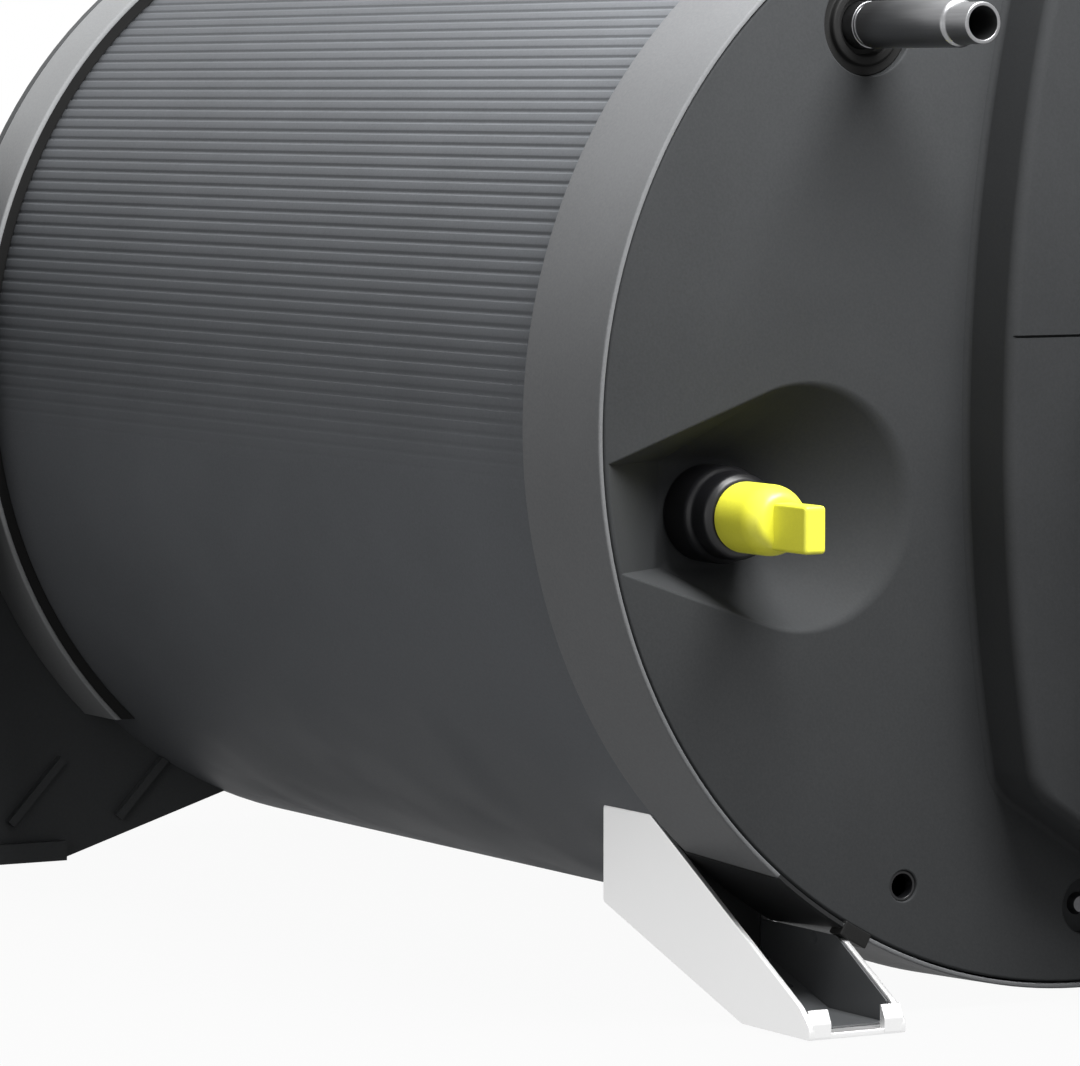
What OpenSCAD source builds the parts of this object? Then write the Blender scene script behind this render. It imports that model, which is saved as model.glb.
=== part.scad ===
// Caravan water and air heater lying on its side: burner end on the left, warm-air outlets on the right.
// Millimetres, +Z up, +X along the drum towards the outlets, -Y is the front.
// The origin is on the floor, under the middle of the overall box.

/* [Drum] */
// Radius of the drum over the rib tips
drum_r = 144.5; // [136:0.5:160]
// Wall of the insulating half shells
drum_wall = 13; // [9:0.5:18]
// Length of drum that shows between the two collars
drum_len = 328; // [280:1:420]
// Rib pitches in a full turn
rib_count = 260; // [120:2:300]
// Depth of the grooves between the ribs
rib_depth = 0.4; // [0.3:0.1:2]
// Drop of the shells' parting line below the drum axis
split_drop = 16; // [8:1:24]

/* [Collars] */
// Rise of both collars over the drum
collar_step = 5; // [3.5:0.1:8]
// Width of the front collar
collar_w = 36; // [28:1:50]
// Length of drum inside the front collar
collar_lap = 16; // [8:1:20]
// Loss of radius of the front collar towards the face
collar_draft = 1.5; // [0.5:0.1:2]
// Rounded front edge of the front collar
collar_edge = 1.2; // [0.6:0.1:2]
// Width of the rear collar
rim_w = 22; // [16:1:30]
// Thickness of the rear collar's lip over the seal
rim_lip = 1.6; // [1.2:0.1:2.5]
// Length of the seal ring
seal_len = 4.5; // [3:0.5:8]
// Depth below the drum axis where the rear collar ends
rim_drop = 106; // [90:1:112]
// Gap under the collars
floor_gap = 1; // [0.5:0.5:12]

/* [End panel] */
// Thickness of the panel
panel_t = 4; // [3:0.5:6]
// Depth of the panel below the collar's edge
panel_sink = 0.6; // [0:0.1:2]
// Wall of the panel's skirt
skirt_t = 4.3; // [3.6:0.1:6]
// Depth of the teardrop pocket
pocket_depth = 22; // [18:1:36]
// Radius of the pocket at the face
pocket_r = 31.2; // [26:0.2:34]
// Width of the pocket's channel at the panel's edge
pocket_mouth = 27; // [18:1:32]
// Wall of the pocket
pocket_wall = 2.5; // [2:0.5:4]
// Radius of the drain hole
drain_r = 4; // [2:0.5:5]
// Radius of the screw recesses
recess_r = 7.5; // [6:0.5:9]
// Depth of the screw recesses
recess_depth = 5; // [4.5:0.5:8]

/* [Warm-air outlets] */
// Height of the hood over the panel
hood_h = 19; // [14:0.5:30]
// Wall of the hood
hood_wall = 2.5; // [2:0.1:4]
// Radius of the hood's bowed left side
hood_bow_r = 500; // [350:10:900]
// Distance of the hood's left side from the drum axis
hood_left = 38.5; // [30:0.5:48]
// Depth of the hood's lower left corner below the drum axis
hood_corner = 94.2; // [80:0.2:100]
// Angle of the hood's chamfered lower end
hood_chamfer_a = 34; // [30:1:40]
// Rounded edge of the hood
hood_edge = 2.5; // [1:0.1:3]
// Bore of the outlet collars, which take a 65 mm duct
outlet_r = 32.7; // [28:0.1:33]
// Wall of the outlet collars
outlet_wall = 1.8; // [1.4:0.1:2.5]
// Lip of the outlet collars behind the hood
outlet_lip = 1; // [0.6:0.1:2]
// Reach of the outlet collars beyond the hood
outlet_reach = 35.6; // [25:0.1:60]

/* [Water] */
// Sheet of the tank
tank_sheet = 1.5; // [1:0.1:3]
// Bore through the tank
tank_in = 80; // [70:1:88]
// Distance of the tank behind the pocket
tank_gap = 12; // [6:1:30]
// Radius of the water pipes
pipe_r = 6; // [5:0.5:7]
// Wall of the water pipes
pipe_wall = 1; // [0.6:0.1:2]
// Radius of the cold-water nut
nut_r = 12.5; // [10:0.1:13]
// Length of the cold-water nut
nut_len = 18.9; // [12:0.1:30]
// Radius of the yellow cap
cap_r = 9; // [8.2:0.1:11]
// Length of the yellow cap with its tab
cap_len = 33.9; // [28:0.1:60]
// Length of the cap's round body
cap_body = 19; // [17:0.5:26]
// Reach of the hot pipe beyond the face
hot_reach = 51; // [20:1:54]
// Radius of the hot port
hot_port_r = 13; // [10:0.5:14]

/* [Brackets] */
// Distance of the outer flanges inside the drum's side
bracket_inset = 41.9; // [32:0.2:52]
// Width over the two flanges
bracket_w = 28.6; // [24:0.2:36]
// Sheet of the brackets
bracket_t = 3; // [2:0.5:4]
// Reach of the toe beyond the face
toe_reach = 26.6; // [18:0.2:34]
// Reach of the bracket behind the face
heel_reach = 75.2; // [66:0.2:90]
// Height of the toe's side walls
toe_h = 8; // [5:0.5:12]
// Height of the heel's lower edge above the floor
heel_h = 23; // [16:0.5:26]
// Start of the flat base behind the face
base_back = 6; // [0:0.5:10]
// Radius of the floor screw holes
floor_hole_r = 2.75; // [2:0.05:3.5]

/* [Burner housing] */
// Thickness of the housing plate
plate_t = 3; // [2:0.5:5]
// Half distance between the feet
foot_y = 113.5; // [104:0.5:124]
// Height of the arch between the feet
arch_h = 36; // [20:1:44]
// Length of the feet
foot_len = 51; // [36:1:60]
// Thickness of the feet
foot_t = 4; // [3:0.5:8]
// Depth of the fan cover
dome_d = 67; // [64:1:100]
// Radius of the fan cover's flat end
dome_end_r = 104; // [98:1:120]
// Wall of the fan cover
dome_wall = 3; // [2:0.5:4]
// Radius of the intake grille
grille_r = 84; // [70:1:90]
// Width of the grille's rings
ring_w = 3; // [2:0.5:5]
// Rings in the grille
ring_count = 6; // [3:1:8]

/* [Front box] */
// Gap between the collars and the box
box_gap = 6.5; // [4:0.5:20]
// Width of the box
box_w = 114; // [110:1:150]
// Top of the box above the drum axis
box_top = 78; // [76:1:110]
// Reach of the box to the right of the housing plate
box_reach = 32; // [30:1:40]
// Wall of the box and its cover
box_wall = 3; // [2:0.5:4]
// Corner radius of the box
box_corner = 10; // [6:1:20]

/* [Burner and flues] */
// Radius of the burner head
head_r = 50; // [48:1:56]
// Space for the burner head between plate and tank
burner_space = 41; // [30:1:60]
// Radius of the exhaust pipe
flue_r = 16; // [12:0.5:16]
// Radius of the mixture pipe
mix_r = 14; // [10:0.5:14]
// Radius of the exhaust stub
exhaust_r = 27.5; // [20:0.5:30]
// Radius of the combustion-air stub
intake_r = 40; // [34:0.5:42]
// Reach of the stubs beyond the box
socket_reach = 30.5; // [20:0.5:50]
// Radius of the gas pipe
gas_r = 4; // [3:0.5:5]

/* [Fans] */
// Radius of the circulation fan wheel
fan_r = 88; // [80:1:92]
// Blades of the circulation fan wheel
fan_blades = 28; // [12:1:40]
// Radius of the circulation fan's shaft
fan_shaft_r = 3; // [2:0.5:4]
// Radius of the combustion fan wheel
blower_r = 36; // [28:1:38]
// Blades of the combustion fan wheel
blower_blades = 16; // [8:1:24]
// Radius of the combustion fan's shaft
blower_shaft_r = 2.5; // [1.5:0.5:4]

/* [Hidden] */
$fn = 96;
hull_fn = 32;
cut = 1;
skin = 0.01;

// Fits
collar_fit = 0.25;
panel_fit = 0.5;
tank_fit = 0.3;
slip_fit = 0.1;
run_fit = 0.05;
wall_fit = 0.5;

// Colours
drum_grey = "#6c6e70";
collar_grey = "#9a9c9d";
panel_grey = "#45474a";
housing_black = "#26272a";
fitting_black = "#17181a";
cap_yellow = "#efe92e";
steel = "#b4b7ba";
alloy = "#a8aaad";
brass = "#b8953f";
board_green = "#2c5c3c";
copper = "#a8643a";
button_red = "#b3261e";

// Stations along the drum, with 0 at the face of the front collar
collar_r = drum_r + collar_step;
face_r = collar_r - collar_draft;
panel_r = face_r - collar_edge - panel_fit;
bore_r = drum_r - drum_wall;
floor_z = -(collar_r + floor_gap);
x_collar = -collar_w;
x_seat = x_collar + collar_lap;
x_panel_back = -panel_sink - panel_t;
x_rim = x_collar - drum_len;
x_plate = x_rim - rim_w;
x_back = x_plate - plate_t;
x_end = x_back - dome_d;
x_hood = hood_h - panel_sink;
x_tip = x_hood + outlet_reach;
x_tank = -panel_sink - pocket_depth - pocket_wall - tank_gap;
x_tank_back = x_plate + burner_space;
shell_len = x_seat - x_plate;

// Places across the drum
box_side = -(collar_r + box_gap);
box_front = box_side - box_w;
y_tip = box_front - socket_reach;

// The row frame's origin, seen from the drum axis at the face
face_x = -(x_tip + x_end) / 2;
axis_y = -(y_tip + collar_r) / 2;
axis_z = -floor_z;

// Tank and ports
tank_r = bore_r - tank_fit;
cold_a = 191.8;
cold_inset = 25.4;
cold_y = (tank_r - cold_inset) * cos(cold_a);
cold_z = (tank_r - cold_inset) * sin(cold_a);
hot_a = 124.1;
hot_inset = pipe_r + tank_sheet + 0.8;
hot_y = (tank_r - hot_inset) * cos(hot_a);
hot_z = (tank_r - hot_inset) * sin(hot_a);
pipe_dip = 10;
hot_groove = 1;
post_r = 3;
post_pos = tank_r - tank_sheet - post_r - slip_fit;
post_angles = [108, 270];
x_pocket = -panel_sink - pocket_depth;
pocket_shift = [16, 2];
mouth_shift = 1;
mouth_inset = 4.5;
panel_edge = 0.8;
drain_a = 244.1;
drain_inset = 15.4;
drain_y = (panel_r - drain_inset) * cos(drain_a);
drain_z = (panel_r - drain_inset) * sin(drain_a);
x_nut = x_pocket + nut_len;
cap_cover = 12;
cap_bore_fit = 0.25;
cap_shoulder = 2.5;
tab_t = 6;
tab_h = 12;
tab_drop = 1.2;

// Warm-air outlets: two rows of two, set against the rear of the hood
hood_margin = 3.3;
hood_r = panel_r - hood_margin;
hood_inner_r = hood_r - hood_wall;
hood_bow = hood_bow_r - sqrt(pow(hood_bow_r, 2) - pow(hood_corner, 2));
hood_apex = hood_left - hood_bow + hood_corner / tan(hood_chamfer_a);
lip_r = outlet_r + outlet_wall + outlet_lip;
outlet_pitch = 2 * lip_r + 1;
outlet_row = outlet_pitch / 2;
outlet_col = sqrt(pow(hood_inner_r - lip_r - 1, 2) - pow(outlet_row, 2));
outlet_cols = [outlet_col - outlet_pitch, outlet_col];
outlet_spots = [for (y = outlet_cols) for (z = [-outlet_row, outlet_row]) [y, z]];
outlet_seat = 2;
seam_z = 23;
seam_w = 1;

// Screws
screw_r = 1.6;
screw_head_r = 3;
screw_head_h = 2;
panel_screw_len = 14;
cover_screw_len = 8;
bracket_screw_len = 11;
hood_boss_r = 5;
hood_screw_cols = [20, 74];
hood_open_z = outlet_row + lip_r + 4;
hood_screw_z = hood_open_z + 24;
hood_screw_spots = [for (y = hood_screw_cols) for (z = [-hood_screw_z, hood_screw_z]) [y, z]];

// Ribs
rib_step = 360 / rib_count;
split_a = asin(split_drop / drum_r);
ribs = floor((180 + 2 * split_a) / rib_step) - 1;
rib_first_a = 90 - ribs * rib_step / 2;
rib_profile = [[0.05, 0], [0.55, 0], [0.68, rib_depth], [0.92, rib_depth]];

// Brackets
heel_x = -heel_reach;
bracket_y = drum_r - bracket_inset;
bracket_top = -sqrt(pow(drum_r, 2) - pow(bracket_y, 2));
heel_flat = 23.6;
toe_bevel = 5;
web_slope = atan2(heel_h, heel_reach - base_back);
bracket_screw_x = heel_x + 18;
bracket_mid = bracket_y - bracket_w / 2;
toe_hole_x = toe_reach / 2;
pad_fit = 0.3;
pad_back = 3;

// Burner end
plate_hole_r = bore_r - 6.5;
strip_h = 6;
strip_out = 4;
gusset_t = 3;
gusset_h = 40;
plate_rib = 2.5;
plate_rib_a = 47;
plate_rib_y = [-foot_y - 9, -foot_y + 27.5];
plate_rib_z = floor_z + 21.5;
rim_edge = 0.6;
seal_sink = 0.5;
dome_flange_w = 7.5;
dome_flange_r = drum_r - 0.5;
dome_base_r = dome_flange_r - dome_flange_w;
dome_flange_t = 3;
dome_screws = 6;
dome_first_a = 60;
dome_screw_r = dome_flange_r - dome_flange_w / 2;
flue_gap = 1;
x_flue = x_back - dome_flange_t - flue_r - wall_fit - flue_gap;
flue_z = 30;
mix_z = -14;
flue_wall = 1.5;
head_boss_y = -60;
head_margin = 2;
x_head = x_flue - flue_r - head_margin;
x_exchanger = x_tank_back + 15;
exchanger_r = 48;
exchanger_wall = 5;
exchanger_end = 25;
fin_count = 24;
fin_t = 2.2;
burner_r = 18;
burner_len = 130;
burner_rows = 5;
burner_hole_r = 2;
electrode_r = 5;
electrode_x = x_exchanger - 40;

// Circulation fan
fan_gap = 2.5;
x_fan = x_head - fan_gap;
fan_w = x_fan - fan_gap - x_end - dome_wall;
wheel_sheet = 2;
blade_start = 0.7;
blade_inset = 0.4;
blade_t = 1.2;
fan_blade_turn = 16;
fan_hub_r = 9;
fan_hub_len = 8;
fan_motor_r = 25;
x_fan_motor = x_fan - fan_hub_len - 1.5;
hub_disc_r = 32;

// Front box
x_cover = x_end + box_wall;
x_box = x_plate + box_reach;
flange_drop = 45;
flange_len = 90;
flange_w = 20;
box_screw_count = 3;
cover_post_r = 4;
cover_sink = screw_head_h;

// Exhaust socket
socket_flange = 4;
socket_flange_t = 3;
stub_wall = 2.5;
socket_back = 20;
socket_web_t = 4;
socket_web_len = 12;
socket_screws_n = 4;
socket_screw_gap = 4;
socket_lug_r = 5;

// Blower
blower_gap = 5;
blower_wall = 3;
blower_case_r = blower_r + blower_gap + blower_wall;
blower_y = box_side - 57;
blower_z = floor_z + 58;
x_blower = x_back - 36;
blower_w = 40;
duct_back = box_side - 14;
duct_w = 29;
duct_top = mix_z + 16;
blower_motor_r = 22;
blower_eye_r = 20;
blower_hub_r = 7;
blower_blade_turn = 20;

// Electronics
board_gap = 12;
board_t = 1.6;
board_edge = 5;
board_y0 = box_front + box_wall + board_edge;
board_w = 97;
board_z0 = floor_z + box_wall + 7.5;
board_h = 90;
x_board = x_cover + board_gap;
post_in = 6;
relay_t = 10;
choke_r = 7;
choke_h = 11;
socket_size = [12, 20];
socket_y = board_y0 + 62;
socket_spots = [board_z0 + 45, board_z0 + 70];
reset_y = board_y0 + 22;
reset_z = board_z0 + 70;
reset_r = 5;
reset_flange_r = 7;
reset_flange_t = 1.5;
reset_travel = 1.5;
reset_sink = 0.5;
reset_boss_r = 9;
reset_boss_len = 3.2;
reset_gap = 0.3;
switch_size = 8;

// Gas line, above the board
feed_r = 3;
feed_drop = 10;
feed_gap = 7;
valve_y = box_side - box_wall;
valve_w = 40;
valve_x0 = x_cover + 3;
valve_t = 24;
valve_z0 = board_z0 + board_h + feed_gap + feed_r + feed_drop;
valve_h = 50;
coil_r = 11;
coil_len = 30;
coil_edge = 2;
coil_gap = 4;
coil_z = valve_z0 + coil_r + coil_edge;
coil_spots = [coil_z, coil_z + 2 * coil_r + coil_gap];
gas_y = valve_y - valve_w / 2;
gas_x = valve_x0 + valve_t / 2;
gas_rise = 25;
gas_bead = 1.2;
gas_nut_r = 8;
gas_nut_h = 10;

// Puts a piece in the row frame, from its place on the drum axis at the face
module at(x = 0, y = 0, z = 0) {
    translate([face_x + x, axis_y + y, axis_z + z]) children();
}

// The same, with the piece's own z along +X, its x along +Y and its y along +Z
module along_x(x = 0, y = 0, z = 0) {
    at(x, y, z) rotate([90, 0, 90]) children();
}

// The same, with the piece's own z along +Y
module along_y(x = 0, y = 0, z = 0) {
    at(x, y, z) rotate([-90, 0, 0]) children();
}

// A profile of [radius, station] points turned round the drum axis
module revolve(points) {
    along_x() rotate_extrude() polygon(points);
}

module tube(r_out, r_in, length) {
    difference() {
        cylinder(r = r_out, h = length);
        translate([0, 0, -cut]) cylinder(r = r_in, h = length + 2 * cut);
    }
}

// A block with round corners in its own x and y
module rounded_block(w, d, h, r) {
    translate([r, 0, 0]) cube([w - 2 * r, d, h]);
    translate([0, r, 0]) cube([w, d - 2 * r, h]);
    for (x = [r, w - r]) {
        for (y = [r, d - r]) {
            translate([x, y, 0]) cylinder(r = r, h = h);
        }
    }
}

// A pan-head screw along its own z, head on top of z = 0
module pan_screw(length) {
    translate([0, 0, -length]) cylinder(r = screw_r, h = length);
    cylinder(r1 = screw_head_r, r2 = screw_head_r * 0.7, h = screw_head_h);
}

// Places children round the drum axis, each with its own z along +X
module around(count, r, x, first_a) {
    for (i = [0:count - 1]) {
        a = first_a + i * 360 / count;
        along_x(x, r * cos(a), r * sin(a)) children();
    }
}

// Places children at the panel's screws, each with its own z along +X
module at_posts(x) {
    for (a = post_angles) {
        along_x(x, post_pos * cos(a), post_pos * sin(a)) children();
    }
}

function polar(r, a) = [r * cos(a), r * sin(a)];

function ribbed_half() = concat(
    [[drum_r * cos(split_a), -split_drop]],
    [for (i = [0:ribs - 1]) for (p = rib_profile) polar(drum_r - p[1], rib_first_a + (i + p[0]) * rib_step)],
    [[-drum_r * cos(split_a), -split_drop]]
);

module drum_bore() {
    along_x(x_plate - cut) cylinder(r = bore_r, h = shell_len + 2 * cut);
}

module upper_shell() {
    color(drum_grey) difference() {
        along_x(x_plate) linear_extrude(shell_len) polygon(ribbed_half());
        drum_bore();
    }
}

// Pad of the lower shell that stands on a bracket's web
module bracket_pad(side) {
    inner = bracket_w - 2 * bracket_t - 2 * pad_fit;
    reach = x_collar - pad_back - heel_x - pad_back;
    drop = tan(web_slope);
    web_top = floor_z + heel_h + bracket_t / cos(web_slope);
    x0 = heel_x + pad_back;
    at(0, side * bracket_mid + inner / 2, 0) rotate([90, 0, 0]) linear_extrude(inner) polygon([
        [x0, web_top - pad_back * drop],
        [x0 + reach, web_top - (pad_back + reach) * drop],
        [x0 + reach, bracket_top],
        [x0, bracket_top]
    ]);
}

// Axis of a bracket's screw, square to the web, with z = 0 on the web's underside
module bracket_screw_axis(side) {
    z = floor_z + heel_h - (bracket_screw_x - heel_x) * tan(web_slope);
    at(bracket_screw_x, side * bracket_mid, z) rotate([0, web_slope, 0]) children();
}

module lower_shell() {
    screw_len = 12;
    color(drum_grey) difference() {
        union() {
            intersection() {
                along_x(x_plate) cylinder(r = drum_r, h = shell_len);
                at(x_plate - cut, -collar_r, floor_z) {
                    cube([shell_len + 2 * cut, 2 * collar_r, -floor_z - split_drop]);
                }
            }
            bracket_pad(-1);
            bracket_pad(1);
        }
        drum_bore();
        for (side = [-1, 1]) {
            bracket_screw_axis(side) cylinder(r = screw_r + run_fit, h = screw_len + cut);
        }
    }
}

module front_collar() {
    lip_in = panel_r + panel_fit;
    color(collar_grey) revolve([
        [drum_r + collar_fit, x_collar],
        [collar_r, x_collar],
        [face_r, -collar_edge],
        [face_r - collar_edge * 0.3, -collar_edge * 0.3],
        [face_r - collar_edge * 0.8, 0],
        [lip_in, 0],
        [lip_in, x_seat],
        [drum_r + collar_fit, x_seat]
    ]);
}

// The pocket's hollow, or its outside with a wall
module pocket(wall) {
    depth = pocket_depth + wall;
    floor_r = nut_r + 1 + wall;
    mouth = pocket_mouth + 2 * wall;
    $fn = hull_fn;
    hull() {
        along_x(-panel_sink - skin, cold_y + pocket_shift[0], cold_z + pocket_shift[1]) {
            cylinder(r = pocket_r + wall, h = cut);
        }
        along_x(-panel_sink - depth, cold_y, cold_z) cylinder(r = floor_r, h = cut);
        at(-panel_sink - depth, cold_y - floor_r, cold_z - floor_r) cube([cut, floor_r, 2 * floor_r]);
        at(-panel_sink - skin, mouth_inset - panel_r, cold_z + mouth_shift - mouth / 2) {
            cube([cut, cut, mouth]);
        }
    }
}

// What lies above the chamfer at the hood's lower end
module hood_wedge(inset, h) {
    apex = -hood_apex + inset / sin(hood_chamfer_a);
    reach = 3 * collar_r;
    drop = reach * tan(hood_chamfer_a);
    linear_extrude(h) polygon([[apex, 0], [apex + reach, -drop], [apex + reach, reach], [apex, reach]]);
}

// The hood's outline, drawn in by inset
module hood_prism(inset, h) {
    intersection() {
        cylinder(r = hood_r - inset, h = h);
        translate([hood_bow_r - hood_left, 0, 0]) cylinder(r = hood_bow_r - inset, h = h, $fn = 256);
        hood_wedge(inset, h);
    }
}

// What lies behind the panel's plate, inside its edge
module behind_plate() {
    intersection() {
        children();
        along_x(x_pocket - pocket_wall - cut) {
            cylinder(r = panel_r - 1, h = x_panel_back - x_pocket + pocket_wall + cut);
        }
    }
}

module end_panel() {
    recess_floor = 3;
    opening_inset = hood_wall + 4;
    color(panel_grey) difference() {
        union() {
            revolve([
                [0, x_panel_back],
                [panel_r - skirt_t, x_panel_back],
                [panel_r - skirt_t, x_seat],
                [panel_r, x_seat],
                [panel_r, -panel_sink - panel_edge],
                [panel_r - panel_edge, -panel_sink],
                [0, -panel_sink]
            ]);
            at_posts(-panel_sink - recess_depth - recess_floor) {
                cylinder(r = recess_r + 2, h = recess_depth + recess_floor - cut);
            }
        }
        pocket(0);
        behind_plate() pocket(pocket_wall + slip_fit);
        along_x(x_panel_back - cut, hot_y, hot_z) cylinder(r = hot_port_r, h = panel_t + 2 * cut);
        along_x(x_panel_back - cut, drain_y, drain_z) cylinder(r = drain_r, h = panel_t + 2 * cut);
        along_x(x_panel_back - cut) intersection() {
            hood_prism(opening_inset, panel_t + 2 * cut);
            translate([-collar_r, -hood_open_z, 0]) cube([2 * collar_r, 2 * hood_open_z, panel_t + 2 * cut]);
        }
        for (s = hood_screw_spots) {
            along_x(x_panel_back - cut, s[0], s[1]) cylinder(r = screw_r + run_fit, h = panel_t + 2 * cut);
        }
        at_posts(-panel_sink - recess_depth) cylinder(r = recess_r, h = recess_depth + cut);
        at_posts(x_tank) cylinder(r = screw_r + wall_fit, h = -x_tank);
    }
}

// Teardrop cup behind the panel, round the cold-water connection
module connection_cup() {
    color(panel_grey) difference() {
        behind_plate() pocket(pocket_wall);
        pocket(0);
        along_x(x_pocket - pocket_wall - cut, cold_y, cold_z) {
            cylinder(r = pipe_r + wall_fit, h = 4 * pocket_wall);
        }
    }
}

module panel_screws() {
    color(steel) at_posts(-panel_sink - recess_depth) pan_screw(panel_screw_len);
}

module warm_air_hood() {
    seam_len = hood_left + outlet_col - outlet_pitch - lip_r + 6;
    color(panel_grey) along_x(-panel_sink) difference() {
        hull() {
            hood_prism(0, hood_h - hood_edge);
            hood_prism(hood_edge * 0.3, hood_h - hood_edge * 0.3);
            hood_prism(hood_edge, hood_h);
        }
        difference() {
            translate([0, 0, -cut]) hood_prism(hood_wall, hood_h - hood_wall + cut);
            for (s = hood_screw_spots) {
                translate([s[0], s[1], 0]) cylinder(r = hood_boss_r, h = hood_h);
            }
        }
        for (s = outlet_spots) {
            translate([s[0], s[1], 0]) cylinder(r = outlet_r + outlet_wall + slip_fit, h = hood_h + cut);
        }
        for (s = hood_screw_spots) {
            translate([s[0], s[1], -cut]) cylinder(r = screw_r + slip_fit, h = hood_h + 2 * cut);
        }
        translate([-hood_left - cut, seam_z - seam_w / 2, hood_h - seam_w]) {
            cube([seam_len, seam_w, seam_w + cut]);
        }
    }
}

module hood_screws() {
    color(steel) for (s = hood_screw_spots) {
        along_x(x_hood, s[0], s[1]) pan_screw(hood_h + panel_t);
    }
}

// An outlet collar: lip behind the hood's face, then a plain socket with a bevelled mouth
module warm_air_outlet(i) {
    s = outlet_spots[i];
    outer = outlet_r + outlet_wall;
    bevel = outlet_wall / 2;
    x0 = hood_h - hood_wall - outlet_seat;
    top = hood_h + outlet_reach;
    color(fitting_black) along_x(-panel_sink, s[0], s[1]) rotate_extrude() polygon([
        [outlet_r, x0],
        [lip_r, x0],
        [lip_r, x0 + outlet_seat],
        [outer, x0 + outlet_seat],
        [outer, top - bevel],
        [outer - bevel, top],
        [outlet_r, top]
    ]);
}

module cold_water_pipe() {
    color(steel) along_x(x_tank - pipe_dip, cold_y, cold_z) {
        tube(pipe_r, pipe_r - pipe_wall, x_nut + cap_cover - x_tank + pipe_dip);
    }
}

module cold_water_nut() {
    bevel = 1.5;
    color(fitting_black) along_x(x_pocket, cold_y, cold_z) rotate_extrude() polygon([
        [pipe_r + slip_fit, 0],
        [nut_r, 0],
        [nut_r, nut_len * 0.55],
        [nut_r - bevel, nut_len * 0.55 + bevel],
        [nut_r - bevel, nut_len - bevel],
        [nut_r - 2 * bevel, nut_len],
        [pipe_r + slip_fit, nut_len]
    ]);
}

// Push-on cap: round body with a stepped shoulder and a flat grip tab
module cold_water_cap() {
    bore = pipe_r + cap_bore_fit;
    end = cap_cover + 2;
    tab = cap_len - cap_body + cut;
    color(cap_yellow) along_x(x_nut, cold_y, cold_z) {
        rotate_extrude() polygon([
            [bore, 0],
            [cap_r, 0],
            [cap_r, cap_body - cap_shoulder],
            [cap_r - cap_shoulder * 0.3, cap_body - cap_shoulder * 0.3],
            [cap_r - cap_shoulder, cap_body],
            [0, cap_body],
            [0, end],
            [bore, end]
        ]);
        translate([-tab_t / 2, -tab_h / 2 - tab_drop, cap_body - cut]) cube([tab_t, tab_h, tab]);
    }
}

module hot_water_pipe() {
    step = 0.8;
    step_len = 10;
    length = hot_reach - x_tank + pipe_dip;
    groove = length - hot_reach + hot_groove;
    color(steel) along_x(x_tank - pipe_dip, hot_y, hot_z) rotate_extrude() polygon([
        [pipe_r - pipe_wall - step, 0],
        [pipe_r, 0],
        [pipe_r, groove],
        [pipe_r - step, groove],
        [pipe_r - step, groove + 2 * step],
        [pipe_r, groove + 2 * step],
        [pipe_r, length - step_len],
        [pipe_r - step, length - step_len + step],
        [pipe_r - step, length],
        [pipe_r - pipe_wall - step, length]
    ]);
}

module hot_water_grommet() {
    flange = 2;
    sink = 2;
    color(fitting_black) along_x(x_panel_back, hot_y, hot_z) rotate_extrude() polygon([
        [pipe_r + slip_fit, -flange],
        [hot_port_r + flange, -flange],
        [hot_port_r + flange, 0],
        [hot_port_r - slip_fit, 0],
        [hot_port_r - slip_fit, panel_t - sink],
        [hot_port_r - 2.5, panel_t - sink],
        [hot_port_r - 3, panel_t - 0.5],
        [pipe_r + 2, panel_t - 0.5],
        [pipe_r + 1.5, panel_t - sink - 1],
        [pipe_r + slip_fit, panel_t - sink - 1]
    ]);
}

module tank_outer_wall() {
    color(steel) along_x(x_tank_back) tube(tank_r, tank_r - tank_sheet, x_tank - x_tank_back);
}

module tank_inner_wall() {
    color(steel) along_x(x_tank_back) tube(tank_in + tank_sheet, tank_in, x_tank - x_tank_back);
}

module tank_ring() {
    tube(tank_r - tank_sheet - run_fit, tank_in + tank_sheet + run_fit, tank_sheet);
}

// Front ring of the tank, with the two pipe holes and the posts for the panel's screws
module tank_front_end() {
    post_len = -panel_sink - recess_depth - 3 - x_tank;
    color(steel) difference() {
        union() {
            along_x(x_tank - tank_sheet) tank_ring();
            at_posts(x_tank - tank_sheet) cylinder(r = post_r, h = post_len + tank_sheet);
        }
        along_x(x_tank - 2 * tank_sheet, cold_y, cold_z) cylinder(r = pipe_r + run_fit, h = 4 * tank_sheet);
        along_x(x_tank - 2 * tank_sheet, hot_y, hot_z) cylinder(r = pipe_r + run_fit, h = 4 * tank_sheet);
        at_posts(x_tank + 4) cylinder(r = screw_r + run_fit, h = post_len);
    }
}

module tank_rear_end() {
    color(steel) along_x(x_tank_back) tank_ring();
}

// Finned casting that takes the flame inside and the room air outside
module heat_exchanger() {
    length = x_tank - exchanger_end - x_exchanger;
    fin_inset = 5;
    fin_out = tank_in - tank_fit - exchanger_r + exchanger_wall / 2;
    color(alloy) along_x(x_exchanger) difference() {
        union() {
            cylinder(r = exchanger_r, h = length);
            for (i = [0:fin_count - 1]) {
                rotate([0, 0, i * 360 / fin_count]) {
                    translate([exchanger_r - exchanger_wall / 2, -fin_t / 2, fin_inset]) {
                        cube([fin_out, fin_t, length - 2 * fin_inset]);
                    }
                }
            }
        }
        translate([0, 0, -cut]) cylinder(r = exchanger_r - exchanger_wall, h = length - exchanger_wall + cut);
    }
}

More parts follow.
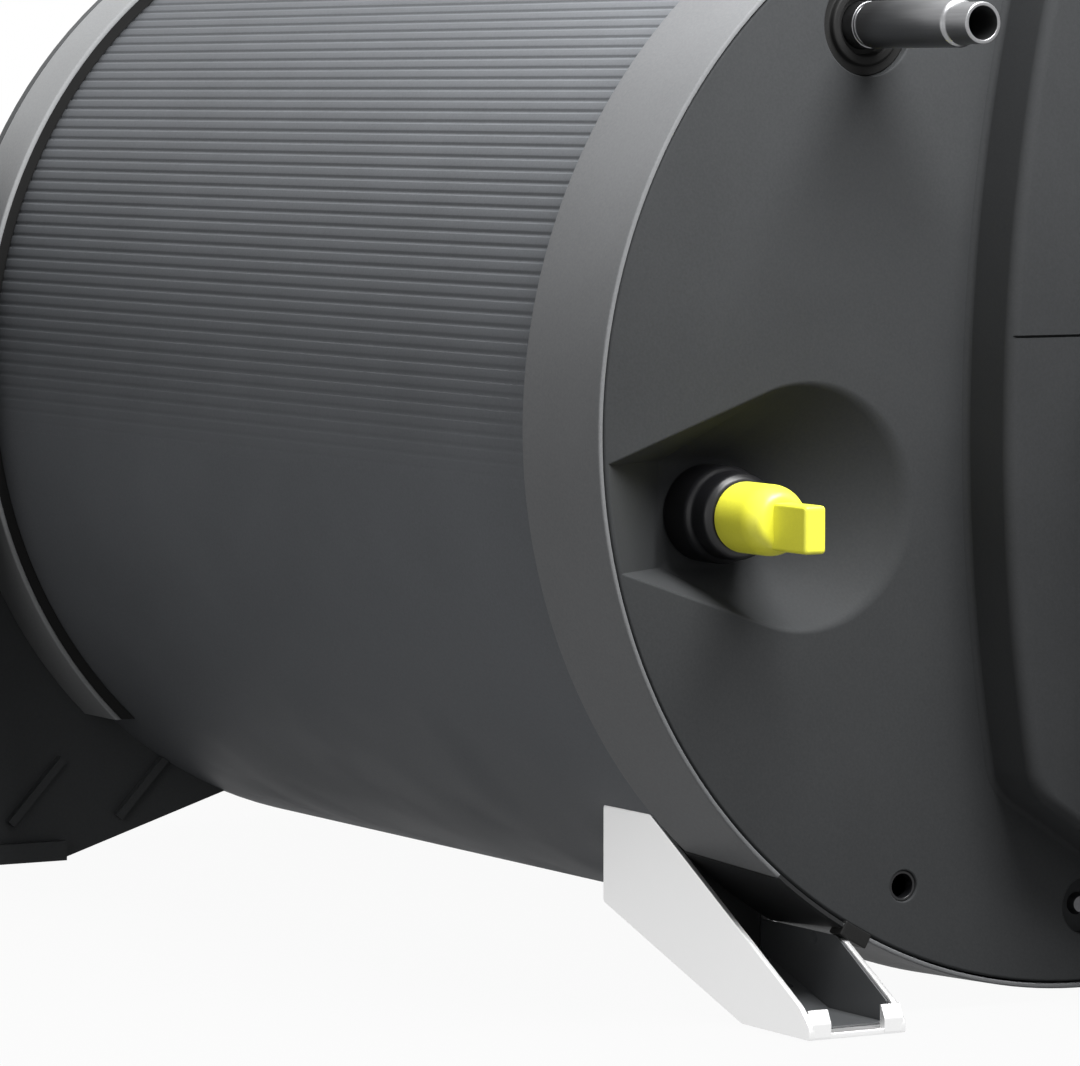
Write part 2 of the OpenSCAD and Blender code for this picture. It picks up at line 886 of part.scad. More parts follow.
module burner_tube() {
    seat = 30;
    wall = 2;
    color(steel) along_x(x_exchanger - seat) difference() {
        cylinder(r = burner_r, h = burner_len + seat);
        translate([0, 0, -cut]) cylinder(r = burner_r - wall, h = burner_len + seat - wall + cut);
        for (row = [1:burner_rows]) {
            for (a = [0:45:135]) {
                translate([0, 0, seat + row * burner_len / (burner_rows + 1)]) rotate([90, 0, a + row * 20]) {
                    cylinder(r = burner_hole_r, h = 3 * burner_r, center = true);
                }
            }
        }
    }
}

// Casting that closes the heat exchanger: mixture in at the middle, exhaust out above it
module burner_head() {
    boss = flue_r + head_margin;
    length = x_exchanger - x_head;
    exhaust_hole_r = 9;
    exhaust_hole_z = 32;
    color(alloy) difference() {
        union() {
            along_x(x_head) cylinder(r = head_r, h = length);
            at(x_head, head_boss_y, mix_z - mix_r - head_margin) {
                cube([2 * boss, -head_boss_y, flue_z - mix_z + mix_r + flue_r + 2 * head_margin]);
            }
        }
        along_x(x_flue - burner_r + head_margin) cylinder(r = burner_r + run_fit, h = length + cut);
        along_x(x_flue, 0, exhaust_hole_z) cylinder(r = exhaust_hole_r, h = length);
        along_y(x_flue, head_boss_y - cut, flue_z) cylinder(r = flue_r - flue_wall, h = -head_boss_y + cut);
        along_y(x_flue, head_boss_y - cut, mix_z) cylinder(r = mix_r - flue_wall, h = -head_boss_y + cut);
        along_y(electrode_x, 0, 0) cylinder(r = electrode_r + run_fit, h = head_r + cut);
    }
}

module ignition_electrode() {
    ceramic_len = 30;
    color("ivory") along_y(electrode_x, head_r - ceramic_len / 2, 0) {
        cylinder(r = electrode_r, h = ceramic_len);
        cylinder(r = electrode_r * 0.3, h = ceramic_len + 10);
    }
}

module exhaust_pipe() {
    length = head_boss_y - box_front - box_wall - socket_back;
    color(steel) along_y(x_flue, head_boss_y - length, flue_z) tube(flue_r, flue_r - flue_wall, length);
}

module mixture_pipe() {
    length = head_boss_y - duct_back;
    color(alloy) along_y(x_flue, duct_back, mix_z) tube(mix_r, mix_r - flue_wall, length);
}

// Leaves out what lies below the rear collar's ends
module above_feet() {
    intersection() {
        children();
        at(x_plate - cut, -2 * collar_r, -rim_drop) cube([rim_w + 2 * cut, 4 * collar_r, 3 * collar_r]);
    }
}

module rear_collar() {
    seat = x_rim - seal_len - seal_sink;
    color(collar_grey) above_feet() revolve([
        [drum_r + collar_fit, x_plate],
        [collar_r, x_plate],
        [collar_r, x_rim - rim_edge],
        [collar_r - rim_edge, x_rim],
        [collar_r - rim_lip, x_rim],
        [collar_r - rim_lip, seat],
        [drum_r + collar_fit, seat]
    ]);
}

module rim_seal() {
    color(fitting_black) above_feet() along_x(x_rim - seal_len - seal_sink) {
        tube(collar_r - rim_lip - slip_fit, drum_r + collar_fit, seal_len);
    }
}

// The plate's outline, with the feet and the arch between them
module plate_outline() {
    circle(r = drum_r);
    intersection() {
        circle(r = collar_r);
        translate([-2 * collar_r, -rim_drop]) square([4 * collar_r, 3 * collar_r]);
    }
    polygon([
        [box_side, floor_z],
        [-foot_y, floor_z],
        [0, floor_z + arch_h],
        [foot_y, floor_z],
        [collar_r, floor_z],
        [collar_r, 0],
        [box_side, 0]
    ]);
}

// A foot behind the plate with its two gussets
module housing_foot(side) {
    width = collar_r - foot_y;
    y0 = side > 0 ? foot_y : -collar_r;
    hole_x = x_back - foot_len / 2;
    difference() {
        at(x_back - foot_len, y0, floor_z) cube([foot_len, width, foot_t]);
        at(hole_x, y0 + width / 2, floor_z - cut) cylinder(r = floor_hole_r, h = foot_t + 2 * cut);
    }
    for (y = [y0, y0 + width - gusset_t]) {
        at(0, y + gusset_t, floor_z) rotate([90, 0, 0]) linear_extrude(gusset_t) polygon([
            [x_back, 0],
            [x_back - foot_len, 0],
            [x_back - foot_len, foot_t],
            [x_back, gusset_h]
        ]);
    }
}

// Slanting ribs on the plate's face, cut back from the drum
module plate_ribs() {
    rib_len = 26;
    difference() {
        for (y = plate_rib_y) {
            along_x(x_plate, y, plate_rib_z) rotate([0, 0, plate_rib_a]) {
                translate([-rib_len / 2, -plate_rib / 2, -cut]) cube([rib_len, plate_rib, plate_rib + cut]);
            }
        }
        along_x(x_plate - cut) cylinder(r = drum_r + collar_fit, h = 2 * cut + plate_rib);
    }
}

module burner_housing() {
    flange_z = -flange_drop - flange_len;
    front_w = -foot_y - box_side;
    color(housing_black) difference() {
        union() {
            along_x(x_back) linear_extrude(plate_t) plate_outline();
            housing_foot(-1);
            housing_foot(1);
            at(x_plate, box_side, floor_z) cube([strip_out, front_w, strip_h]);
            at(x_plate, foot_y, floor_z) cube([strip_out, collar_r - foot_y, strip_h]);
            plate_ribs();
            at(x_back - flange_w, box_side, flange_z) cube([flange_w, box_wall, flange_len]);
        }
        along_x(x_back - cut) cylinder(r = plate_hole_r, h = plate_t + 2 * cut);
        around(dome_screws, dome_screw_r, x_back - cut, dome_first_a) {
            cylinder(r = screw_r + run_fit, h = plate_t + 2 * cut);
        }
        for (i = [0:box_screw_count - 1]) {
            box_screw_axis(i) cylinder(r = screw_r + run_fit, h = 20, center = true);
        }
    }
}

// Axis of a screw through the housing's flange into the box, along +Y
module box_screw_axis(i) {
    z = -flange_drop - (i + 0.5) * flange_len / box_screw_count;
    along_y(x_back - flange_w / 2, box_side + box_wall, z) children();
}

module box_screws() {
    color(steel) for (i = [0:box_screw_count - 1]) {
        box_screw_axis(i) pan_screw(2 * box_wall + 2);
    }
}

// Slots of the intake grille, between its rings and spokes
module grille_slots() {
    pitch = (grille_r + ring_w - hub_disc_r) / ring_count;
    depth = dome_wall + 2 * cut;
    difference() {
        for (i = [1:ring_count]) {
            r = hub_disc_r + i * pitch - ring_w;
            tube(r, r + ring_w - pitch, depth);
        }
        for (a = [0:60:120]) {
            rotate([0, 0, a]) translate([-dome_end_r, -ring_w, -cut]) {
                cube([2 * dome_end_r, 2 * ring_w, depth + 2 * cut]);
            }
        }
    }
}

module flue_holes(fit) {
    along_y(x_flue, 2 * box_side, flue_z) cylinder(r = flue_r + fit, h = -2 * box_side);
    along_y(x_flue, 2 * box_side, mix_z) cylinder(r = mix_r + fit, h = -2 * box_side);
}

module fan_cover() {
    color(housing_black) difference() {
        revolve([
            [dome_base_r - dome_wall, x_back],
            [dome_flange_r, x_back],
            [dome_flange_r, x_back - dome_flange_t],
            [dome_base_r, x_back - dome_flange_t],
            [dome_end_r + dome_wall, x_end + dome_wall / 3],
            [dome_end_r, x_end],
            [0, x_end],
            [0, x_end + dome_wall],
            [dome_end_r - dome_wall / 3, x_end + dome_wall]
        ]);
        along_x(x_end - cut) grille_slots();
        flue_holes(wall_fit);
        around(dome_screws, dome_screw_r, x_back - 2 * dome_flange_t, dome_first_a) {
            cylinder(r = screw_r + slip_fit, h = 3 * dome_flange_t);
        }
    }
}

module fan_cover_screws() {
    color(steel) around(dome_screws, dome_screw_r, x_back - dome_flange_t, dome_first_a) rotate([180, 0, 0]) {
        pan_screw(dome_flange_t + plate_t);
    }
}

module fan_motor() {
    bore_gap = 3;
    length = x_fan_motor - x_end - dome_wall;
    color(fitting_black) along_x(x_end + dome_wall) difference() {
        cylinder(r = fan_motor_r, h = length);
        translate([0, 0, bore_gap]) cylinder(r = fan_shaft_r + run_fit, h = length);
    }
}

module fan_shaft() {
    dip = 8;
    color(steel) along_x(x_fan_motor - dip) cylinder(r = fan_shaft_r, h = x_fan - x_fan_motor + dip);
}

// One blade, bent back along an arc from the inner to the outer radius
module blade(r_in, r_out, turn, t, h) {
    steps = 5;
    line = [for (i = [0:steps]) polar(r_in + (r_out - r_in) * i / steps, turn * pow(i / steps, 2))];
    back = [for (i = [steps:-1:0]) line[i] + polar(t, turn * pow(i / steps, 2) + 90)];
    linear_extrude(h) polygon(concat(line, back));
}

// Drum fan: disc, blades and an outer ring
module wheel(r, w, blades, shaft_r, hub_r, hub_len, turn) {
    r_in = blade_start * r;
    difference() {
        union() {
            translate([0, 0, w - wheel_sheet]) cylinder(r = r, h = wheel_sheet);
            for (i = [0:blades - 1]) {
                rotate([0, 0, i * 360 / blades]) translate([0, 0, wheel_sheet / 2]) {
                    blade(r_in, r - blade_inset, turn, blade_t, w - wheel_sheet);
                }
            }
            tube(r, (r + r_in) / 2, wheel_sheet);
            translate([0, 0, w - hub_len]) cylinder(r = hub_r, h = hub_len);
        }
        translate([0, 0, -cut]) cylinder(r = shaft_r, h = w + 2 * cut);
    }
}

module fan_wheel() {
    color(housing_black) along_x(x_fan - fan_w) {
        wheel(fan_r, fan_w, fan_blades, fan_shaft_r, fan_hub_r, fan_hub_len, fan_blade_turn);
    }
}

// The box's outline, drawn in by inset, from x0 with a length
module box_block(x0, length, inset) {
    along_x(x0, box_front + inset, floor_z + inset) {
        rounded_block(box_w - 2 * inset, box_top - floor_z - 2 * inset, length, box_corner - inset);
    }
}

// Open towards the cover, with the flue holes, the socket's hole and the gas pipe's hole
module front_box() {
    post_hole = 11;
    color(housing_black) difference() {
        union() {
            difference() {
                box_block(x_cover, x_box - x_cover, 0);
                box_block(x_cover - cut, x_box - x_cover - box_wall + cut, box_wall);
            }
            box_post_spots() cylinder(r = cover_post_r, h = x_box - x_cover - cut);
        }
        box_post_spots() translate([0, 0, -cut]) cylinder(r = screw_r + run_fit, h = post_hole + cut);
        intersection() {
            flue_holes(wall_fit);
            at(x_end, box_side - 2 * box_wall, -collar_r) cube([-x_end, 4 * box_wall, 2 * collar_r]);
        }
        along_y(x_flue, box_front - cut, flue_z) cylinder(r = intake_r - stub_wall, h = box_wall + 2 * cut);
        at(gas_x, gas_y, box_top - 2 * box_wall) cylinder(r = gas_r + wall_fit, h = 3 * box_wall);
        for (i = [0:box_screw_count - 1]) {
            box_screw_axis(i) cylinder(r = screw_r + run_fit, h = 20, center = true);
        }
        for (a = [0:socket_screws_n - 1]) {
            socket_screw_axis(a) cylinder(r = screw_r + run_fit, h = 20, center = true);
        }
    }
}

// The four corner posts that take the cover's screws
module box_post_spots() {
    inset = box_wall + cover_post_r - cut;
    for (y = [box_front + inset, box_side - inset]) {
        for (z = [floor_z + inset, box_top - inset]) {
            along_x(x_cover, y, z) children();
        }
    }
}

// Lid of the box, with the board's posts, the sockets' windows and the reset button's guide
module box_cover() {
    color(housing_black) difference() {
        union() {
            box_block(x_end, box_wall, 0);
            board_corners() cylinder(r = 3, h = board_gap);
            along_x(x_cover, reset_y, reset_z) cylinder(r = reset_boss_r, h = reset_boss_len);
        }
        box_post_spots() {
            cylinder(r = screw_r + slip_fit, h = 20, center = true);
            translate([0, 0, -box_wall - cut]) cylinder(r = screw_head_r + wall_fit, h = cover_sink + cut);
        }
        for (z = socket_spots) {
            socket_block(z, slip_fit * 3, x_end - cut, box_wall + 2 * cut);
        }
        along_x(x_end - cut, reset_y, reset_z) {
            cylinder(r = reset_r + slip_fit, h = box_wall + reset_boss_len + 2 * cut);
        }
    }
}

module box_cover_screws() {
    color(steel) box_post_spots() translate([0, 0, cover_sink - box_wall]) rotate([180, 0, 0]) {
        pan_screw(cover_screw_len);
    }
}

// The board's corners, on the cover's inner face
module board_corners() {
    for (y = [board_y0 + post_in, board_y0 + board_w - post_in]) {
        for (z = [board_z0 + post_in, board_z0 + board_h - post_in]) {
            along_x(x_cover, y, z) children();
        }
    }
}

module control_board() {
    relays = 3;
    relay = [board_w / (relays + 2), board_h / 5, relay_t];
    chokes = 2;
    x_top = x_board + board_t;
    color(board_green) {
        along_x(x_board, board_y0, board_z0) cube([board_w, board_h, board_t]);
    }
    color(fitting_black) for (i = [1:relays]) {
        along_x(x_top, board_y0 + board_w * i / (relays + 1) - relay[0] / 2, board_z0 + relay[1]) cube(relay);
    }
    color(copper) for (i = [1:chokes]) {
        along_x(x_top, board_y0 + board_w * i / (chokes + 1), board_z0 + board_h * 0.7) {
            cylinder(r = choke_r, h = choke_h);
        }
    }
}

module socket_block(z, fit, x0, length) {
    along_x(x0, socket_y - fit, z - fit) {
        cube([socket_size[1] + 2 * fit, socket_size[0] + 2 * fit, length]);
    }
}

// Plug-in sockets on the board that look out through the cover
module control_sockets() {
    wall = 1.5;
    depth = 8;
    lip = 0.3;
    color("ivory") for (z = socket_spots) {
        difference() {
            socket_block(z, 0, x_end + lip, x_board - x_end - lip);
            along_x(x_end, socket_y + wall, z + wall) {
                cube([socket_size[1] - 2 * wall, socket_size[0] - 2 * wall, depth]);
            }
        }
    }
}

module reset_switch() {
    x0 = x_cover + reset_boss_len + reset_gap + reset_flange_t + reset_travel + reset_gap;
    color(fitting_black) along_x(x0, reset_y - switch_size / 2, reset_z - switch_size / 2) {
        cube([switch_size, switch_size, x_board - x0]);
    }
}

module reset_button() {
    x0 = x_end + reset_sink;
    shoulder = x_cover + reset_boss_len + reset_gap - x0;
    color(button_red) along_x(x0, reset_y, reset_z) {
        cylinder(r = reset_r, h = shoulder);
        translate([0, 0, shoulder]) cylinder(r = reset_flange_r, h = reset_flange_t);
    }
}

// Axis of a screw through the socket's flange, along +Y from the box's front
module socket_screw_axis(i) {
    r = intake_r + screw_head_r + socket_screw_gap;
    a = 45 + i * 360 / socket_screws_n;
    along_y(x_flue + r * cos(a), box_front - socket_flange_t, flue_z + r * sin(a)) children();
}

// Double stub: exhaust inside, combustion air round it
module exhaust_socket() {
    ring_in = intake_r - stub_wall;
    color(alloy) difference() {
        union() {
            along_y(x_flue, y_tip, flue_z) {
                tube(intake_r, ring_in, socket_reach);
                tube(exhaust_r, exhaust_r - stub_wall, socket_reach + box_wall + socket_back);
            }
            along_y(x_flue, box_front - socket_flange_t, flue_z) {
                tube(intake_r + socket_flange, ring_in, socket_flange_t);
            }
            for (i = [0:socket_screws_n - 1]) {
                socket_screw_axis(i) cylinder(r = socket_lug_r, h = socket_flange_t);
            }
            along_y(x_flue, box_front - socket_web_len, flue_z) intersection() {
                for (a = [0:120:240]) {
                    rotate([0, 0, a]) translate([exhaust_r - stub_wall / 2, -socket_web_t / 2, 0]) {
                        cube([ring_in - exhaust_r + stub_wall, socket_web_t, socket_web_len]);
                    }
                }
                cylinder(r = intake_r - stub_wall / 2, h = socket_web_len);
            }
            along_y(x_flue, box_front + box_wall + socket_back - stub_wall, flue_z) {
                cylinder(r = exhaust_r, h = stub_wall);
            }
        }
        along_y(x_flue, box_front, flue_z) cylinder(r = flue_r - flue_wall, h = 2 * box_wall + socket_back);
        for (i = [0:socket_screws_n - 1]) {
            socket_screw_axis(i) cylinder(r = screw_r + slip_fit, h = 20, center = true);
        }
    }
}

module socket_screws() {
    color(steel) for (i = [0:socket_screws_n - 1]) {
        socket_screw_axis(i) rotate([180, 0, 0]) pan_screw(socket_flange_t + box_wall + 3);
    }
}

// Blower casing with its outlet duct up to the mixture pipe
module blower_housing() {
    duct_x = x_flue - mix_r - 1;
    duct_t = 2 * mix_r + 2;
    color(alloy) difference() {
        union() {
            along_x(x_blower, blower_y, blower_z) cylinder(r = blower_case_r, h = blower_w);
            at(duct_x, duct_back - duct_w, blower_z) cube([duct_t, duct_w, duct_top - blower_z]);
        }
        along_x(x_blower + blower_wall, blower_y, blower_z) {
            cylinder(r = blower_case_r - blower_wall, h = blower_w - 2 * blower_wall);
        }
        at(duct_x + blower_wall, duct_back - duct_w + blower_wall, blower_z) {
            cube([duct_t - 2 * blower_wall, duct_w - 2 * blower_wall, duct_top - blower_z - blower_wall]);
        }
        along_y(x_flue, duct_back - 2 * blower_wall, mix_z) {
            cylinder(r = mix_r - flue_wall, h = 3 * blower_wall);
        }
        along_x(x_blower - cut, blower_y, blower_z) cylinder(r = blower_eye_r, h = blower_wall + 2 * cut);
        along_x(x_blower, blower_y, blower_z) cylinder(r = blower_shaft_r + 2, h = blower_w + cut);
        at(duct_x - cut, gas_y, valve_z0 - feed_drop) rotate([0, 90, 0]) {
            cylinder(r = feed_r - 1, h = 2 * blower_wall);
        }
    }
}

module blower_motor() {
    length = x_box - box_wall - x_blower - blower_w;
    color(fitting_black) along_x(x_blower + blower_w, blower_y, blower_z) difference() {
        cylinder(r = blower_motor_r, h = length);
        translate([0, 0, -cut]) cylinder(r = blower_shaft_r + run_fit, h = length - 4 + cut);
    }
}

module blower_shaft() {
    dip = 14;
    x0 = x_blower + blower_wall + blower_gap;
    color(steel) along_x(x0, blower_y, blower_z) {
        cylinder(r = blower_shaft_r, h = x_blower + blower_w + dip - x0);
    }
}

module blower_wheel() {
    w = blower_w - 2 * blower_wall - 6;
    hub_len = w - 2 * wheel_sheet;
    color(housing_black) along_x(x_blower + blower_wall + 3, blower_y, blower_z) {
        wheel(blower_r, w, blower_blades, blower_shaft_r, blower_hub_r, hub_len, blower_blade_turn);
    }
}

module gas_valve() {
    color(alloy) difference() {
        at(valve_x0, valve_y - valve_w, valve_z0) cube([valve_t, valve_w, valve_h]);
        at(gas_x, gas_y, valve_z0 - cut) cylinder(r = feed_r - 1, h = valve_h + 2 * cut);
    }
}

module gas_solenoids() {
    color(fitting_black) for (z = coil_spots) {
        along_y(gas_x, valve_y - valve_w - coil_len, z) {
            cylinder(r = coil_r, h = coil_len);
        }
    }
}

// Elbow pipe from the valve to the blower's duct
module gas_feed_pipe() {
    z = valve_z0 - feed_drop;
    color(copper) {
        at(gas_x, gas_y, z) cylinder(r = feed_r, h = feed_drop);
        at(gas_x, gas_y, z) sphere(r = feed_r);
        at(gas_x, gas_y, z) rotate([0, 90, 0]) cylinder(r = feed_r, h = x_flue - mix_r - 1 - gas_x);
    }
}

module gas_pipe() {
    z = valve_z0 + valve_h;
    color(copper) at(gas_x, gas_y) difference() {
        union() {
            translate([0, 0, z]) cylinder(r = gas_r, h = box_top + gas_rise - z);
            translate([0, 0, box_top]) cylinder(r = gas_r + gas_bead, h = 2 * gas_bead);
        }
        translate([0, 0, z - cut]) cylinder(r = gas_r - 1, h = box_top + gas_rise - z + 2 * cut);
    }
}

module gas_nut() {
    color(brass) at(gas_x, gas_y, valve_z0 + valve_h) difference() {
        cylinder(r = gas_nut_r, h = gas_nut_h, $fn = 6);
        translate([0, 0, -cut]) cylinder(r = gas_r + slip_fit, h = gas_nut_h + 2 * cut);
    }
}

// Side outline of a bracket's flange, in X and Z
function flange_points() = [
    [heel_x, bracket_top],
    [heel_x + heel_flat, bracket_top],
    [toe_reach - toe_bevel, floor_z + toe_h],
    [toe_reach, floor_z + bracket_t],
    [toe_reach, floor_z],
    [-base_back, floor_z],
    [heel_x, floor_z + heel_h]
];

// Outline of the web: a ramp down from the heel and a flat toe
function web_points() = [
    [heel_x, floor_z + heel_h],
    [-base_back, floor_z],
    [toe_reach, floor_z],
    [toe_reach, floor_z + bracket_t],
    [-base_back + bracket_t * tan(web_slope / 2), floor_z + bracket_t],
    [heel_x, floor_z + heel_h + bracket_t / cos(web_slope)]
];

module side_prism(points, y0, width) {
    at(0, y0 + width, 0) rotate([90, 0, 0]) linear_extrude(width) polygon(points);
}

// Channel-shaped sheet foot, cut to sit against the drum and the collar
module bracket(side) {
    y0 = side > 0 ? bracket_y - bracket_w : -bracket_y;
    color("#d9dadb") difference() {
        union() {
            side_prism(flange_points(), y0, bracket_t);
            side_prism(flange_points(), y0 + bracket_w - bracket_t, bracket_t);
            side_prism(web_points(), y0, bracket_w);
        }
        along_x(heel_x - cut) cylinder(r = drum_r + collar_fit, h = heel_reach + cut);
        along_x(x_collar - 0.5) cylinder(r = collar_r + collar_fit, h = collar_w + 0.5 + toe_reach);
        at(toe_hole_x, side * bracket_mid, floor_z - cut) cylinder(r = floor_hole_r, h = bracket_t + 2 * cut);
        bracket_screw_axis(side) cylinder(r = screw_r + slip_fit, h = 4 * bracket_t, center = true);
    }
}

module bracket_screws() {
    color(steel) for (side = [-1, 1]) {
        bracket_screw_axis(side) rotate([180, 0, 0]) pan_screw(bracket_screw_len);
    }
}

upper_shell();
lower_shell();
front_collar();
end_panel();
connection_cup();
panel_screws();
warm_air_hood();
hood_screws();
warm_air_outlet(0);  // warm_air_outlet_1
warm_air_outlet(1);  // warm_air_outlet_2
warm_air_outlet(2);  // warm_air_outlet_3
warm_air_outlet(3);  // warm_air_outlet_4
cold_water_pipe();
cold_water_nut();
cold_water_cap();
hot_water_pipe();
hot_water_grommet();
tank_outer_wall();
tank_inner_wall();
tank_front_end();
tank_rear_end();
heat_exchanger();
burner_tube();
burner_head();
ignition_electrode();
exhaust_pipe();
mixture_pipe();
rear_collar();
rim_seal();
burner_housing();
fan_cover();
fan_cover_screws();
fan_motor();
fan_shaft();
fan_wheel();
front_box();
box_cover();
box_cover_screws();
box_screws();
control_board();
control_sockets();
reset_switch();
reset_button();
exhaust_socket();
socket_screws();
blower_housing();
blower_motor();
blower_shaft();
blower_wheel();
gas_valve();
gas_solenoids();
gas_feed_pipe();
gas_pipe();
gas_nut();
bracket(-1);  // bracket_front
bracket(1);  // bracket_rear
bracket_screws();
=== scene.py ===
"""Studio scene of a caravan water and warm-air heater.

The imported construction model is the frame. Each sub-assembly is a class that
rebuilds its visible pieces with rounded edges, dresses the pieces that are
carried over, and puts every new piece on its body.

Sizes are millimetres on the drum axis: x = 0 at the face of the front collar,
+x towards the outlets, y = z = 0 on the axis.
"""
import logging
import math
from dataclasses import dataclass, field
from enum import Enum
from typing import Iterable, Sequence

import bmesh
import bpy
from mathutils import Matrix, Vector
from mathutils.geometry import delaunay_2d_cdt


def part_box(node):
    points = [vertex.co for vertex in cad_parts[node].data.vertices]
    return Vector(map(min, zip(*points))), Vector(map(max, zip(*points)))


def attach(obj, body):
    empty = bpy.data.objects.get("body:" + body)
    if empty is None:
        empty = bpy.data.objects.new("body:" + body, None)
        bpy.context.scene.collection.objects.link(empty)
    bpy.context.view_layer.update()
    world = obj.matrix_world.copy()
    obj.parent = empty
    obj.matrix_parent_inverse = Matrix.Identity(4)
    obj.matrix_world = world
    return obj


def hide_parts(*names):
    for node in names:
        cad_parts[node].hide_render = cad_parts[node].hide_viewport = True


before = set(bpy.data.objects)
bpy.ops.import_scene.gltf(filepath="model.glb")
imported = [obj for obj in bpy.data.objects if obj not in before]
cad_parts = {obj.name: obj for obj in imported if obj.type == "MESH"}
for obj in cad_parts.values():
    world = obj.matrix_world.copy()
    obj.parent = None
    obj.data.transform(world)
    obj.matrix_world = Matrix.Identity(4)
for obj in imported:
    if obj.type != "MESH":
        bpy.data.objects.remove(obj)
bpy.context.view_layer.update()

LOG = logging.getLogger("heater")
MM = 0.001

Point2 = tuple[float, float]
Point3 = tuple[float, float, float]
Colour = tuple[float, float, float]
Ring = list[bmesh.types.BMVert]


class Body(Enum):
    """Bodies of the construction model that carry new pieces."""

    HEATER = "heater"
    WATER_CAP = "water_cap"


class Axis(Enum):
    """Direction that a turned or extruded piece runs in."""

    X = "x"
    Y = "y"


class Grain(Enum):
    """Stretch of a finish's fine texture along x, y and z."""

    MOULDED = (1.0, 1.0, 1.0)
    BRUSHED_X = (0.04, 1.0, 1.0)
    CAST = (0.8, 0.8, 0.8)


# Finishes

NOISE_SPAN = (0.3, 0.7)


@dataclass(frozen=True)
class Finish:
    """A procedural surface: two close tones, mottled gloss and a fine bump.

    Tones and gloss are spread over the noise values of NOISE_SPAN.
    """

    name: str
    slot: str
    tone: Colour
    contrast: float = 0.10
    gloss: tuple[float, float] = (0.42, 0.55)
    metallic: float = 0.0
    specular: float = 0.5
    grain: Grain = Grain.MOULDED
    grain_mm: float = 0.7
    mottle_mm: float = 35.0
    bump_mm: float = 0.03

    def material(self) -> bpy.types.Material:
        """Make the material once, or return the one that is there.

        Returns:
            The node material of this finish.
        """
        known = bpy.data.materials.get(self.name)
        if known:
            return known
        made = bpy.data.materials.new(self.name)
        made.use_nodes = True
        tree = made.node_tree
        shader = tree.nodes["Principled BSDF"]
        shader.inputs["Metallic"].default_value = self.metallic
        shader.inputs["Specular IOR Level"].default_value = self.specular
        grain = self._noise(tree, self.grain_mm, self.grain.value, 2.0)
        mottle = self._noise(tree, self.mottle_mm, (1.0, 1.0, 1.0), 3.0)
        self._colour(tree, shader, grain, mottle)
        self._gloss(tree, shader, mottle)
        bump = tree.nodes.new("ShaderNodeBump")
        bump.inputs["Strength"].default_value = 0.6
        bump.inputs["Distance"].default_value = self.bump_mm * MM
        tree.links.new(grain.outputs["Fac"], bump.inputs["Height"])
        tree.links.new(bump.outputs["Normal"], shader.inputs["Normal"])
        made.diffuse_color = (*self.tone, 1.0)
        return made

    @staticmethod
    def _noise(
        tree: bpy.types.NodeTree, size_mm: float, stretch: Point3, detail: float
    ) -> bpy.types.Node:
        """Add a noise texture in the row frame.

        Args:
            tree: Node tree of the material.
            size_mm: Size of the noise's features.
            stretch: Scale along x, y and z.
            detail: Octaves of the noise.

        Returns:
            The noise node.
        """
        coords = tree.nodes.new("ShaderNodeTexCoord")
        mapping = tree.nodes.new("ShaderNodeMapping")
        mapping.inputs["Scale"].default_value = stretch
        noise = tree.nodes.new("ShaderNodeTexNoise")
        noise.inputs["Scale"].default_value = 1.0 / (size_mm * MM)
        noise.inputs["Detail"].default_value = detail
        tree.links.new(coords.outputs["Object"], mapping.inputs["Vector"])
        tree.links.new(mapping.outputs["Vector"], noise.inputs["Vector"])
        return noise

    def _colour(
        self,
        tree: bpy.types.NodeTree,
        shader: bpy.types.Node,
        grain: bpy.types.Node,
        mottle: bpy.types.Node,
    ) -> None:
        """Blend the two tones by grain and mottling.

        Args:
            tree: Node tree of the material.
            shader: Principled shader.
            grain: Fine noise.
            mottle: Coarse noise.
        """
        ramp = tree.nodes.new("ShaderNodeValToRGB")
        low, high = ramp.color_ramp.elements
        low.position, high.position = NOISE_SPAN
        low.color = (*(c * (1 - self.contrast) for c in self.tone), 1.0)
        high.color = (*(min(1.0, c * (1 + self.contrast)) for c in self.tone), 1.0)
        blend = tree.nodes.new("ShaderNodeMix")
        blend.data_type = "FLOAT"
        blend.inputs["Factor"].default_value = 0.5
        tree.links.new(grain.outputs["Fac"], blend.inputs["A"])
        tree.links.new(mottle.outputs["Fac"], blend.inputs["B"])
        tree.links.new(blend.outputs["Result"], ramp.inputs["Fac"])
        tree.links.new(ramp.outputs["Color"], shader.inputs["Base Color"])

    def _gloss(
        self, tree: bpy.types.NodeTree, shader: bpy.types.Node, mottle: bpy.types.Node
    ) -> None:
        """Let the roughness wander between its two limits.

        Args:
            tree: Node tree of the material.
            shader: Principled shader.
            mottle: Coarse noise.
        """
        spread = tree.nodes.new("ShaderNodeMapRange")
        limits = ("From Min", "From Max", "To Min", "To Max")
        for limit, value in zip(limits, (*NOISE_SPAN, *self.gloss)):
            spread.inputs[limit].default_value = value
        tree.links.new(mottle.outputs["Fac"], spread.inputs["Value"])
        tree.links.new(spread.outputs["Result"], shader.inputs["Roughness"])


